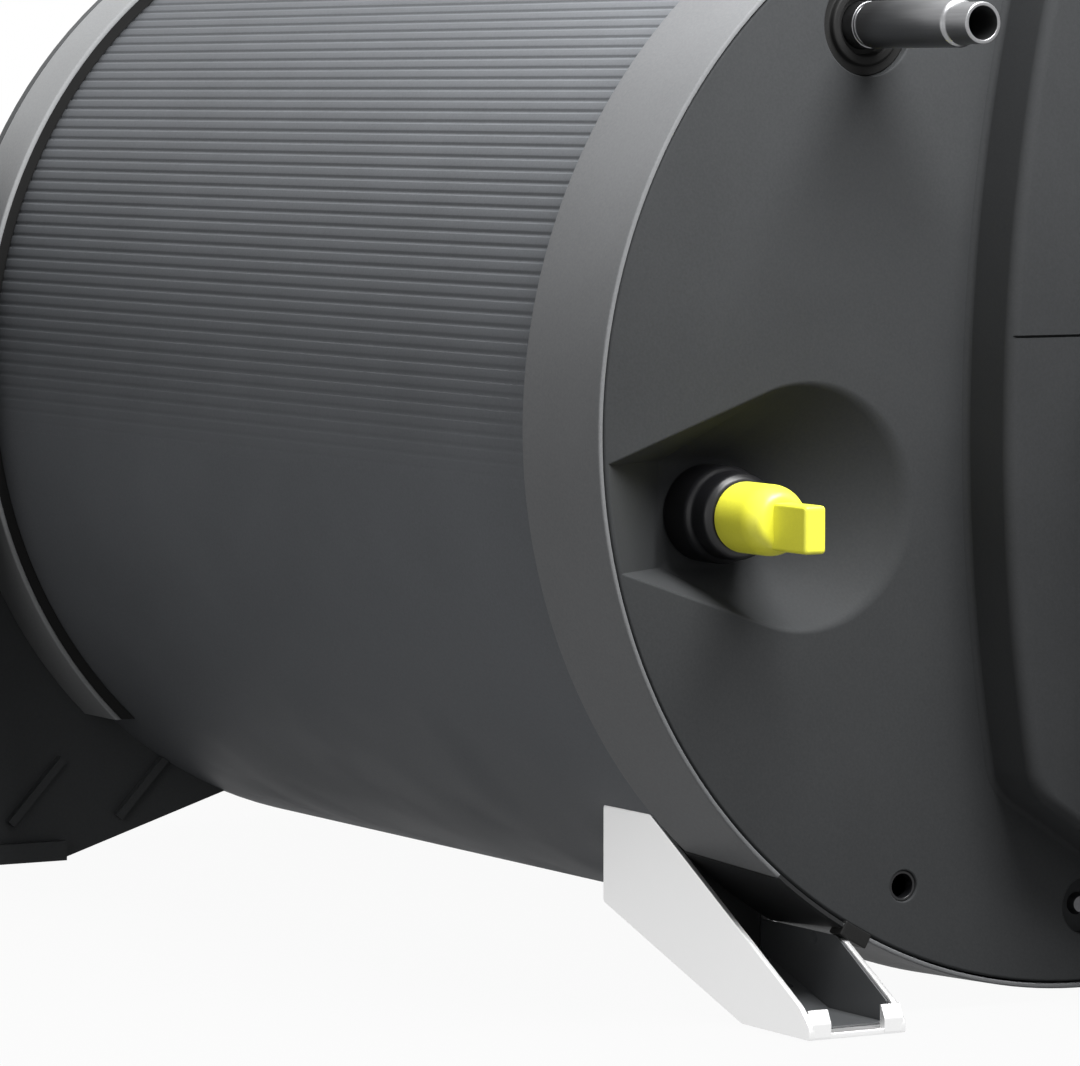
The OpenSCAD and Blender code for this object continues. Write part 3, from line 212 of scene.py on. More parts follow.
DRUM_GREY = Finish("drum_grey", "drum_plastic", (0.118, 0.1235, 0.132), gloss=(0.5, 0.6), specular=0.03)
COLLAR_GREY = Finish(
    "collar_grey", "collar_plastic", (0.144, 0.147, 0.151), gloss=(0.5, 0.6), specular=0.04, bump_mm=0.02
)
# Lighter copy of the collar plastic for the rear band: painted light on the band.
RIM_PAINTED_LIGHT = Finish(
    "rim_painted_light", "collar_plastic", (0.275, 0.28, 0.285), gloss=(0.45, 0.55), specular=0.08, bump_mm=0.02
)
PANEL_GREY = Finish("panel_grey", "panel_plastic", (0.037, 0.0385, 0.040), gloss=(0.5, 0.6), specular=0.03)
# Darker copy of the panel plastic for the hood: painted shade on its side wall.
HOOD_PAINTED_SHADE = Finish("hood_painted_shade", "panel_plastic", (0.0305, 0.0317, 0.033), gloss=(0.5, 0.6), specular=0.03)
HOUSING_BLACK = Finish(
    "housing_black", "housing_plastic", (0.065, 0.0676, 0.070), gloss=(0.36, 0.48), specular=0.1
)
FITTING_BLACK = Finish(
    "fitting_black", "fitting_plastic", (0.007, 0.007, 0.008), gloss=(0.3, 0.4), specular=0.35
)
# Near-black copy of the drum plastic: painted shade inside the feet.
PAD_PAINTED_SHADE = Finish("pad_painted_shade", "drum_plastic", (0.020, 0.0205, 0.021), gloss=(0.4, 0.5), specular=0.12)
# Dark copy of the drum plastic for sheets inside the feet: painted shade.
LINING_PAINTED_SHADE = Finish("lining_painted_shade", "drum_plastic", (0.070, 0.073, 0.076), gloss=(0.26, 0.36), specular=0.5)
SEAL_BLACK = Finish("seal_black", "seal_rubber", (0.006, 0.006, 0.006), gloss=(0.6, 0.75), specular=0.2)
CAP_YELLOW = Finish("cap_yellow", "cap_plastic", (0.80, 0.78, 0.06), contrast=0.04, gloss=(0.34, 0.42))
BUTTON_RED = Finish("button_red", "button_plastic", (0.45, 0.022, 0.014), gloss=(0.28, 0.36))
SOCKET_IVORY = Finish("socket_ivory", "socket_plastic", (0.74, 0.70, 0.58), contrast=0.05)
BOARD_GREEN = Finish("board_green", "board", (0.02, 0.10, 0.045), gloss=(0.3, 0.4), mottle_mm=6.0)
STEEL = Finish(
    "brushed_steel", "steel", (0.50, 0.51, 0.52), 0.12, (0.26, 0.36), 1.0,
    grain=Grain.BRUSHED_X, grain_mm=0.5, bump_mm=0.012,
)
# Darker copy of the steel for the hot pipe: painted shade for its dark reflections.
PIPE_PAINTED_SHADE = Finish(
    "pipe_painted_shade", "steel", (0.27, 0.272, 0.28), 0.12, (0.3, 0.4), 1.0,
    grain=Grain.BRUSHED_X, grain_mm=0.5, bump_mm=0.012,
)
DARK_STEEL = Finish(
    "dark_steel", "steel", (0.10, 0.10, 0.105), 0.12, (0.34, 0.44), 1.0, grain=Grain.CAST, bump_mm=0.01
)
BRACKET_SHEET = Finish(
    "bracket_sheet", "bracket_sheet", (0.77, 0.78, 0.79), 0.03, (0.16, 0.24), 1.0,
    grain=Grain.CAST, grain_mm=1.5, bump_mm=0.01,
)
CAST_ALLOY = Finish(
    "cast_alloy", "cast_alloy", (0.42, 0.43, 0.44), 0.14, (0.36, 0.5), 1.0,
    grain=Grain.CAST, grain_mm=1.2, bump_mm=0.06,
)
BRASS = Finish(
    "satin_brass", "brass", (0.55, 0.38, 0.13), 0.10, (0.24, 0.34), 1.0, grain=Grain.CAST, bump_mm=0.01
)


# Shapes


def bend(start: Vector, corner: Vector, end: Vector, steps: int) -> list[Vector]:
    """Curve that rounds a corner.

    Args:
        start: Point where the curve leaves the first edge.
        corner: The corner.
        end: Point where the curve meets the second edge.
        steps: Segments in the curve.

    Returns:
        Points from start to end.
    """
    shares = [k / steps for k in range(steps + 1)]
    return [start * (1 - t) ** 2 + corner * 2 * t * (1 - t) + end * t ** 2 for t in shares]


def quarter_round(radius: float, steps: int) -> list[Point2]:
    """Course of a rounded edge, from the wall to the face.

    Args:
        radius: Radius of the edge, 0 for a plain one.
        steps: Segments in the rounding.

    Returns:
        Pairs of set-back from the wall and drop below the face.
    """
    turns = [math.pi / 2 * k / steps for k in range(steps + 1 if radius else 1)]
    return [(radius * (1 - math.cos(a)), radius * (1 - math.sin(a))) for a in turns]


def rounded(points: Sequence[Point2], radius: float, steps: int = 4) -> list[Point2]:
    """Round every corner of a closed outline.

    Args:
        points: Corners in order.
        radius: Set-back of the rounding along both edges.
        steps: Segments in each corner.

    Returns:
        The outline with rounded corners.
    """
    return rounded_each(points, [radius] * len(points), steps)


def rounded_each(points: Sequence[Point2], radii: Sequence[float], steps: int = 4) -> list[Point2]:
    """Round the corners of a closed outline, each by its own radius.

    Args:
        points: Corners in order.
        radii: Set-back at each corner.
        steps: Segments in each corner.

    Returns:
        The outline with rounded corners.
    """
    out: list[Point2] = []
    for i, corner in enumerate(points):
        p = Vector(corner)
        before, after = Vector(points[i - 1]) - p, Vector(points[(i + 1) % len(points)]) - p
        back = min(radii[i], before.length * 0.48, after.length * 0.48)
        if back < 1e-4:
            out.append(corner)
            continue
        a, b = p + before.normalized() * back, p + after.normalized() * back
        out += [(q.x, q.y) for q in bend(a, p, b, steps)]
    return out


def inset(points: Sequence[Point2], distance: float) -> list[Point2]:
    """Move a closed outline to the left of its travel, with mitred corners.

    Args:
        points: Outline; its material lies on the left.
        distance: Distance to move by.

    Returns:
        The moved outline, point for point.
    """
    if abs(distance) < 1e-9:
        return list(points)
    out: list[Point2] = []
    count = len(points)
    for i in range(count):
        p = Vector(points[i])
        u = (p - Vector(points[i - 1])).normalized()
        v = (Vector(points[(i + 1) % count]) - p).normalized()
        n1, n2 = Vector((-u.y, u.x)), Vector((-v.y, v.x))
        mitre = n1 + n2
        scale = 2.0 / max(0.4, mitre.length_squared)
        q = p + mitre * scale * distance
        out.append((q.x, q.y))
    return out


def circle(y: float, z: float, r: float, count: int = 64, hole: bool = False) -> list[Point2]:
    """Points of a circle; a hole runs the other way round."""
    turn = -1 if hole else 1
    return [
        (y + r * math.cos(turn * math.tau * i / count), z + r * math.sin(turn * math.tau * i / count))
        for i in range(count)
    ]


def arc(y: float, z: float, r: float, start: float, end: float, count: int) -> list[Point2]:
    """Points along an arc, with both ends, from angles in degrees."""
    angles = [math.radians(start + (end - start) * i / count) for i in range(count + 1)]
    return [(y + r * math.cos(a), z + r * math.sin(a)) for a in angles]


def pose(axis: Axis, x: float = 0.0, y: float = 0.0, z: float = 0.0) -> Matrix:
    """Placement of a turned or extruded piece.

    Args:
        axis: Direction that the piece's own z takes.
        x: Place of the piece's origin.
        y: Place of the piece's origin.
        z: Place of the piece's origin.

    Returns:
        Matrix from the piece's own axes to the drum axis.
    """
    columns = {
        Axis.X: ((0, 0, 1), (1, 0, 0), (0, 1, 0)),
        Axis.Y: ((1, 0, 0), (0, 0, 1), (0, 1, 0)),
    }[axis]
    return Matrix.Translation((x, y, z)) @ Matrix(columns).to_4x4()


@dataclass(frozen=True)
class DrumFrame:
    """Where the drum axis meets the face, in the row frame, in metres."""

    origin: Vector

    @classmethod
    def from_collar(cls) -> "DrumFrame":
        """Read the place from the front collar's box."""
        low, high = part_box("front_collar")
        return cls(Vector((high.x, (low.y + high.y) / 2, (low.z + high.z) / 2)))

    def to_row(self) -> Matrix:
        """Matrix from drum-axis millimetres to row metres."""
        return Matrix.Translation(self.origin) @ Matrix.Scale(MM, 4)


DRUM_FRAME = DrumFrame.from_collar()


def add(name: str, data: bpy.types.ID) -> bpy.types.Object:
    """Add an object to the scene.

    Args:
        name: Name of the object.
        data: Its mesh, camera or light.

    Returns:
        The new object.
    """
    made = bpy.data.objects.new(name, data)
    bpy.context.scene.collection.objects.link(made)
    return made


class Shape:
    """One piece under construction, in millimetres on the drum axis."""

    def __init__(self) -> None:
        """Start with an empty mesh."""
        self.mesh = bmesh.new()

    def ring(self, points: Iterable[Sequence[float]]) -> Ring:
        """Add a row of points and return its vertices."""
        return [self.mesh.verts.new(p) for p in points]

    def face(self, corners: Sequence[bmesh.types.BMVert]) -> None:
        """Add a face, leaving out repeated corners.

        Args:
            corners: Vertices in order.
        """
        unique = list(dict.fromkeys(corners))
        if len(unique) > 2 and not self.mesh.faces.get(unique):
            self.mesh.faces.new(unique)

    def skin(self, rings: Sequence[Ring], closed: bool = True) -> None:
        """Add quads between neighbouring rings.

        Args:
            rings: Rings of one length, or single points.
            closed: Whether each ring runs round to its start.
        """
        for a, b in zip(rings, rings[1:]):
            count = max(len(a), len(b))
            for i in range(count if closed else count - 1):
                j = (i + 1) % count
                pick = [a[i % len(a)], a[j % len(a)], b[j % len(b)], b[i % len(b)]]
                self.face(pick)

    def fill(self, loops: Sequence[Ring]) -> None:
        """Fill a flat outline that may have holes.

        Args:
            loops: Outline and hole rings.
        """
        corners = [v for loop in loops for v in loop]
        flat = self._flatten([v.co for v in corners])
        edges, start = [], 0
        for loop in loops:
            edges += [(start + i, start + (i + 1) % len(loop)) for i in range(len(loop))]
            start += len(loop)
        _, _, faces, origins, _, _ = delaunay_2d_cdt(flat, edges, [], 1, 1e-6)
        for triangle in faces:
            picked = [origins[i][0] for i in triangle]
            middle = sum((flat[i] for i in picked), Vector((0.0, 0.0))) / 3
            if self._inside(middle, flat, edges):
                self.face([corners[i] for i in picked])

    @staticmethod
    def _inside(point: Vector, flat: Sequence[Vector], edges: Sequence[tuple[int, int]]) -> bool:
        """Tell whether a point lies in the outline and in none of its holes.

        Args:
            point: Point to test.
            flat: Corners of the outline and the holes.
            edges: Pairs of corners.

        Returns:
            True in the filled part.
        """
        crossings = 0
        for i, j in edges:
            a, b = flat[i], flat[j]
            if (a.y > point.y) != (b.y > point.y):
                crossings += point.x < a.x + (point.y - a.y) * (b.x - a.x) / (b.y - a.y)
        return crossings % 2 == 1

    @staticmethod
    def _flatten(points: Sequence[Vector]) -> list[Vector]:
        """Coordinates of flat points in their own plane.

        Args:
            points: Points in one plane.

        Returns:
            Two coordinates for each point.
        """
        middle = sum(points, Vector()) / len(points)
        u = max((p - middle for p in points), key=lambda d: d.length).normalized()
        v = max((p - middle - (p - middle).dot(u) * u for p in points), key=lambda d: d.length).normalized()
        return [Vector(((p - middle).dot(u), (p - middle).dot(v))) for p in points]

    def lathe(self, profile: Sequence[Point2], place: Matrix, count: int = 96) -> None:
        """Turn a closed profile round the piece's own z.

        Args:
            profile: Points of radius and height.
            place: Placement of the piece.
            count: Segments round the axis.
        """
        rings = []
        for r, h in profile:
            if r < 1e-6:
                rings.append(self.ring([place @ Vector((0, 0, h))]))
                continue
            rings.append(self.ring(place @ Vector((u, v, h)) for u, v in circle(0, 0, r, count)))
        self.skin(rings + rings[:1])

    def plate(
        self,
        outline: Sequence[Point2],
        place: Matrix,
        height: float,
        edge: float = 0.5,
        holes: Sequence[Sequence[Point2]] = (),
        under: float = 0.0,
        steps: int = 3,
        hole_edge: float | None = None,
    ) -> None:
        """Extrude an outline along the piece's own z, with rounded edges.

        Args:
            outline: Outline, anticlockwise.
            place: Placement of the piece.
            height: Thickness.
            edge: Rounding of the top edges.
            holes: Hole outlines, clockwise.
            under: Rounding of the bottom edges.
            steps: Segments in each rounding.
            hole_edge: Rounding of the holes' top edges, if another one.
        """
        bottoms, tops = [], []
        for loop in [outline, *holes]:
            soft = edge if loop is outline or hole_edge is None else hole_edge
            levels = [(back, rise) for rise, back in quarter_round(under, steps)]
            levels += [(back, height - drop) for back, drop in quarter_round(soft, steps)]
            rings = [self.ring(place @ Vector((u, v, h)) for u, v in inset(loop, d)) for d, h in levels]
            self.skin(rings)
            bottoms.append(rings[0])
            tops.append(rings[-1])
        self.fill(bottoms)
        self.fill(tops)

    def keep_above(self, z: float) -> None:
        """Cut the shape level at a height and close the cut.

        Args:
            z: Height on the drum axis.
        """
        geometry = [*self.mesh.verts, *self.mesh.edges, *self.mesh.faces]
        cut = bmesh.ops.bisect_plane(
            self.mesh, geom=geometry, plane_co=(0, 0, z), plane_no=(0, 0, 1), clear_inner=True
        )
        edges = [e for e in cut["geom_cut"] if isinstance(e, bmesh.types.BMEdge)]
        bmesh.ops.holes_fill(self.mesh, edges=edges)

    def data(self, name: str) -> bpy.types.Mesh:
        """Close the construction and move it into the row frame.

        Args:
            name: Name of the mesh.

        Returns:
            The mesh, in metres.
        """
        bmesh.ops.remove_doubles(self.mesh, verts=self.mesh.verts, dist=1e-4)
        bmesh.ops.recalc_face_normals(self.mesh, faces=self.mesh.faces)
        self.mesh.transform(DRUM_FRAME.to_row())
        made = bpy.data.meshes.new(name)
        self.mesh.to_mesh(made)
        self.mesh.free()
        return made

    def piece(
        self,
        name: str,
        finish: Finish,
        body: Body = Body.HEATER,
        stands_for: Sequence[str] = (),
        sharp: float = 35.0,
    ) -> bpy.types.Object:
        """Turn the shape into a finished object on its body.

        Args:
            name: Name of the piece.
            finish: Its surface.
            body: Body that it rides on.
            stands_for: Construction nodes that it replaces.
            sharp: Angle in degrees above which an edge stays sharp.

        Returns:
            The new object.
        """
        data = self.data(name)
        data.shade_smooth()
        data.set_sharp_from_angle(angle=math.radians(sharp))
        data.materials.append(finish.material())
        made = add(name, data)
        weigh = made.modifiers.new("weighted_normals", "WEIGHTED_NORMAL")
        weigh.keep_sharp = True
        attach(made, body.value)
        if stands_for:
            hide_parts(*stands_for)
        LOG.info("piece %s: %d faces, %s", name, len(data.polygons), finish.name)
        return made


def dress(finish: Finish, *names: str, bevel: float = 0.25) -> None:
    """Give carried-over construction nodes their finish and softened edges.

    Args:
        finish: Surface to put on.
        names: Construction nodes.
        bevel: Width of the softened edges in millimetres.
    """
    for name in names:
        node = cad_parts[name]
        node.data.materials.clear()
        node.data.materials.append(finish.material())
        weld = node.modifiers.new("weld", "WELD")
        weld.merge_threshold = 1e-6
        if bevel:
            soft = node.modifiers.new("soft_edges", "BEVEL")
            soft.width = bevel * MM
            soft.segments = 2
            soft.limit_method = "ANGLE"
            soft.angle_limit = math.radians(40)
            soft.use_clamp_overlap = True
        LOG.info("node %s: %s", name, finish.name)


# Drum and collars


@dataclass
class Drum:
    """Ribbed upper shell, smooth lower shell, both collars, the rim seal and a clip."""

    radius: float = 144.5
    wall: float = 13.0
    x_back: float = -386.0
    x_front: float = -20.0
    rib_count: int = 260
    rib_depth: float = 0.3
    rib_shape: tuple[float, ...] = (0.0, 0.25, 0.5, 0.6, 0.7, 0.8, 0.9, 0.97)
    rib_fade: float = 9.0
    groove_middle: float = 0.78
    groove_half: float = 0.24
    groove_flank: float = 0.18
    split_drop: float = 16.0
    split_gap: float = 0.004
    collar_r: float = 149.5
    collar_face_r: float = 148.0
    collar_w: float = 36.0
    collar_lip: float = 1.2
    rim_w: float = 22.0
    rim_lip: float = 1.6
    rim_drop: float = 106.0
    seal_len: float = 4.5
    seal_gap: float = 0.5
    fit: float = 0.25
    segments: int = 240
    clip_a: float = 240.8
    clip_span: float = 3.4
    clip_r: tuple[float, float] = (146.0, 150.0)
    clip_x: tuple[float, float] = (-5.0, 0.4)

    def build(self) -> None:
        """Build every piece of the drum."""
        self._upper_shell()
        self._lower_shell()
        self._front_collar()
        self._rear_collar()
        self._rim_clip()

    def _split(self) -> float:
        """Angle in degrees of the parting line below the axis."""
        return math.degrees(math.asin(self.split_drop / self.radius))

    def _groove(self, phase: float) -> float:
        """Depth share of the groove between two ribs.

        Args:
            phase: Place across one rib pitch, 0 to 1.

        Returns:
            0 on the rib and 1 at the bottom of the groove.
        """
        away = abs(phase - self.groove_middle)
        t = min(1.0, max(0.0, (self.groove_half - away) / self.groove_flank))
        return t * t * (3 - 2 * t)

    def _half(self, shape: Shape, outer: Sequence[Point2]) -> None:
        """Extrude a half shell from its outer outline to the drum's bore.

        Args:
            shape: Shape to add to.
            outer: Outer outline from end to end.
        """
        bore = self.radius - self.wall
        inner = []
        for y, z in outer:
            scale = bore / math.hypot(y, z)
            inner.append((y * scale, z * scale))
        corners = []
        for x in (self.x_back, self.x_front):
            corners.append((shape.ring((x, *p) for p in outer), shape.ring((x, *p) for p in inner)))
        (back_out, back_in), (front_out, front_in) = corners
        shape.skin([back_in, back_out, front_out, front_in, back_in], closed=False)
        for end in (0, -1):
            shape.face((back_out[end], front_out[end], front_in[end], back_in[end]))

    def _upper_shell(self) -> None:
        """Upper half with fine ribs that fade out near the parting line."""
        split, step = self._split(), 360.0 / self.rib_count
        first = math.ceil(-split / step)
        last = math.floor((180.0 + split) / step)
        outer = [self._on_drum(-split, 0.0)]
        for i in range(first, last):
            for phase in self.rib_shape:
                angle = (i + phase) * step
                into = min(angle + split, 180.0 + split - angle) / self.rib_fade
                outer.append(self._on_drum(angle, self.rib_depth * self._groove(phase) * min(1.0, into)))
        outer.append(self._on_drum(180.0 + split, 0.0))
        shape = Shape()
        self._half(shape, outer)
        shape.piece("ribbed_upper_shell", DRUM_GREY, stands_for=["upper_shell"], sharp=70)

    def _on_drum(self, angle: float, depth: float) -> Point2:
        """Point on the drum at an angle in degrees, sunk by a depth."""
        a = math.radians(angle)
        return ((self.radius - depth) * math.cos(a), (self.radius - depth) * math.sin(a))

    def _lower_shell(self) -> None:
        """Smooth lower half."""
        start = self._split() + self.split_gap
        shape = Shape()
        self._half(shape, arc(0, 0, self.radius, 180 + start, 360 - start, self.segments))
        shape.piece("smooth_lower_shell", DRUM_GREY, stands_for=["lower_shell"])

    def _front_collar(self) -> None:
        """Tapered band round the face end."""
        inner, lip = self.radius + self.fit, self.collar_face_r - self.collar_lip
        profile = rounded_each(
            [
                (inner, -self.collar_w),
                (self.collar_r, -self.collar_w),
                (self.collar_face_r, 0.0),
                (lip, 0.0),
                (lip, self.x_front),
                (inner, self.x_front),
            ],
            [0.2, 0.9, 1.3, 0.25, 0.2, 0.2],
        )
        shape = Shape()
        shape.lathe(profile, pose(Axis.X), self.segments)
        shape.piece("front_band", COLLAR_GREY, stands_for=["front_collar"])

    def _rear_collar(self) -> None:
        """Band and seal at the burner end, open above the feet."""
        inner, x_rim = self.radius + self.fit, self.x_back + self.rim_w
        seat = x_rim - self.seal_len - self.seal_gap
        lip = self.collar_r - self.rim_lip
        profile = rounded_each(
            [
                (inner, self.x_back),
                (self.collar_r, self.x_back),
                (self.collar_r, x_rim),
                (lip, x_rim),
                (lip, seat),
                (inner, seat),
            ],
            [0.2, 0.6, 0.7, 0.5, 0.2, 0.2],
        )
        shape = Shape()
        shape.lathe(profile, pose(Axis.X), self.segments)
        shape.keep_above(-self.rim_drop)
        # The rear band's lighter finish is painted light.
        shape.piece("rear_band", RIM_PAINTED_LIGHT, stands_for=["rear_collar"])
        dress(SEAL_BLACK, "rim_seal", bevel=0.0)

    def _rim_clip(self) -> None:
        """Small black clip over the front collar's edge."""
        start, end = self.clip_a - self.clip_span / 2, self.clip_a + self.clip_span / 2
        low, high = self.clip_r
        outline = rounded(arc(0, 0, high, start, end, 6) + arc(0, 0, low, end, start, 6), 0.5)
        shape = Shape()
        back, front = self.clip_x
        shape.plate(outline, pose(Axis.X, back), front - back, 0.4, under=0.3)
        shape.piece("rim_clip", SEAL_BLACK)


# End panel


@dataclass
class EndPanel:
    """Face panel with its teardrop pocket, ports and screw recesses."""

    radius: float = 146.3
    face: float = -0.6
    thickness: float = 4.0
    edge: float = 0.8
    skirt_x: float = Drum.x_front
    segments: int = 240
    hole_segments: int = 48
    pocket_centre: Point2 = (-87.57, -19.64)
    pocket_r: float = 31.2
    pocket_depth: float = 22.0
    mouth_r: float = 144.9
    mouth_z: tuple[float, float] = (-34.14, -7.14)
    floor_centre: Point2 = (-103.57, -21.64)
    floor_r: float = 13.5
    floor_bend: float = 2.5
    pipe_hole_r: float = 6.5
    rim_run: float = 1.4
    rim_soft: tuple[float, float] = (0.6, 2.2)
    mouth_soft: float = 0.3
    hot_port: Point2 = (-68.90, 101.77)
    hot_port_r: float = 13.0
    drain: Point2 = (-57.18, -117.76)
    drain_r: float = 4.0
    liner_wall: float = 0.8
    liner_len: float = 3.4
    recess_pos: float = 126.6
    recess_angles: tuple[float, float] = (108.0, 270.0)
    recess_r: float = 7.5
    recess_depth: float = 5.0
    recess_soft: float = 0.7
    opening_z: float = 75.5
    opening_r: float = 136.5
    opening_bow: float = 493.5
    opening_centre: float = 461.5

    def build(self) -> None:
        """Build the panel, its screws and the water fittings' seats."""
        shape = Shape()
        holes = [self._pocket(shape)]
        holes.append(self._hole(shape, self.hot_port, self.hot_port_r, self.thickness))
        holes.append(self._hole(shape, self.drain, self.drain_r, self.thickness))
        for a in self.recess_angles:
            at = (self.recess_pos * math.cos(math.radians(a)), self.recess_pos * math.sin(math.radians(a)))
            holes.append(self._recess(shape, at))
        opening = shape.ring((self.face, *p) for p in self._opening())
        back = shape.ring((self.face - self.thickness, *p) for p in self._opening())
        shape.skin([opening, back])
        holes.append(opening)
        rim = self._rim(shape)
        shape.fill([rim, *holes])
        shape.piece("face_panel", PANEL_GREY, stands_for=["end_panel", "connection_cup"], sharp=40)
        self._drain_liner()
        dress(DARK_STEEL, "panel_screws")

    def _rim(self, shape: Shape) -> Ring:
        """Rounded outer edge and skirt.

        Args:
            shape: Shape to add to.

        Returns:
            The ring where the flat face starts.
        """
        rings = [shape.ring((self.skirt_x, *p) for p in circle(0, 0, self.radius, self.segments))]
        for back, drop in quarter_round(self.edge, 4):
            edge = circle(0, 0, self.radius - back, self.segments)
            rings.append(shape.ring((self.face - drop, *p) for p in edge))
        shape.skin(rings)
        return rings[-1]

    def _opening(self) -> list[Point2]:
        """Outline of the air opening behind the hood.

        Returns:
            Outline, anticlockwise.
        """
        count = 24
        heights = [-self.opening_z + 2 * self.opening_z * i / count for i in range(count + 1)]
        right = [(math.sqrt(self.opening_r ** 2 - z * z), z) for z in heights]
        bow = [(self.opening_centre - math.sqrt(self.opening_bow ** 2 - z * z), z) for z in heights]
        return right + bow[::-1]

    def _hole(self, shape: Shape, at: Point2, r: float, depth: float, soft: float = 0.5) -> Ring:
        """Round hole with a softened rim.

        Args:
            shape: Shape to add to.
            at: Centre of the hole.
            r: Radius.
            depth: Depth of the wall.
            soft: Rounding of the rim.

        Returns:
            The ring at the face.
        """
        rings = [shape.ring((self.face - depth, *p) for p in circle(*at, r, self.hole_segments))]
        for grow, drop in quarter_round(soft, 3):
            edge = circle(*at, r + grow, self.hole_segments)
            rings.append(shape.ring((self.face - drop, *p) for p in edge))
        shape.skin(rings)
        return rings[-1]

    def _recess(self, shape: Shape, at: Point2) -> Ring:
        """Blind recess for a screw head.

        Args:
            shape: Shape to add to.
            at: Centre of the recess.

        Returns:
            The ring at the face.
        """
        rim = self._hole(shape, at, self.recess_r, self.recess_depth, self.recess_soft)
        base = circle(*at, self.recess_r, self.hole_segments)
        shape.fill([shape.ring((self.face - self.recess_depth, *p) for p in base)])
        return rim

    def _columns(self) -> list[tuple[Point2, Point2, float, float]]:
        """Outline of the pocket, round the rim and along the mouth.

        Returns:
            For each column its point at the face, its foot on the floor, the
            angle of the way out and the rounding of the rim.
        """
        cy, cz = self.pocket_centre
        fy, fz = self.floor_centre
        left, reach = fy - self.floor_r, self.floor_r
        low, high = self.mouth_z
        edge = [(-math.sqrt(self.mouth_r ** 2 - z * z), z) for z in (high, low)]
        tangents = []
        for (y, z), turn in zip(edge, (1, -1)):
            toward = math.atan2(z - cz, y - cy)
            tangents.append(toward - turn * math.acos(self.pocket_r / math.hypot(y - cy, z - cz)))
        top, bottom = tangents
        bottom -= math.tau if bottom > top else 0.0
        columns = []
        around, across = 90, 8
        for i in range(around + 1):
            a = bottom + (top - bottom) * i / around
            rim = (cy + self.pocket_r * math.cos(a), cz + self.pocket_r * math.sin(a))
            foot = (fy + reach * math.cos(a), fz + reach * math.sin(a))
            if math.cos(a) < 0:
                foot = (left, fz + math.copysign(reach, math.sin(a)))
            east = 0.5 + 0.5 * math.cos(a)
            soft = self.rim_soft[0] + (self.rim_soft[1] - self.rim_soft[0]) * east ** 2
            columns.append((rim, foot, a, soft))
        columns.append((edge[0], (left, fz + reach), top, self.rim_soft[0]))
        for i in range(across + 1):
            z = high + (low - high) * i / across
            rim = (-math.sqrt(self.mouth_r ** 2 - z * z), z)
            columns.append((rim, (left, fz + reach - 2 * reach * i / across), math.pi, self.mouth_soft))
        columns.append((edge[1], (left, fz - reach), bottom, self.rim_soft[0]))
        return columns

    def _pocket(self, shape: Shape) -> Ring:
        """Teardrop pocket: ruled sides, a flat ramp and a floor round the nut.

        Args:
            shape: Shape to add to.

        Returns:
            The ring at the face.
        """
        bottom, steps = self.face - self.pocket_depth, 6
        middle = Vector((bottom, *self.floor_centre))
        columns = []
        for at, below, a, soft in self._columns():
            out = Vector((0.0, math.cos(a), math.sin(a)))
            rim, foot = Vector((self.face, *at)), Vector((bottom, *below))
            side, inward = (foot - rim).normalized(), (foot - middle).normalized()
            lip, start = rim + out * soft, rim + side * soft * self.rim_run
            low, floor = foot - side * self.floor_bend, foot - inward * self.floor_bend
            hole = middle + inward * self.pipe_hole_r
            columns.append([*bend(lip, rim, start, steps), *bend(low, foot, floor, steps), hole])
        rings = [shape.ring(column[k] for column in columns) for k in range(len(columns[0]))]
        shape.skin(rings)
        return rings[0]

    def _drain_liner(self) -> None:
        """Black liner in the drain hole."""
        outer = self.drain_r - 0.05
        inner, top = outer - self.liner_wall, self.liner_len
        profile = rounded([(inner, 0.0), (outer, 0.0), (outer, top), (inner, top)], 0.25, 3)
        shape = Shape()
        shape.lathe(profile, pose(Axis.X, self.face - self.thickness, *self.drain), self.hole_segments)
        shape.piece("drain_liner", FITTING_BLACK)


# Warm-air hood and outlets


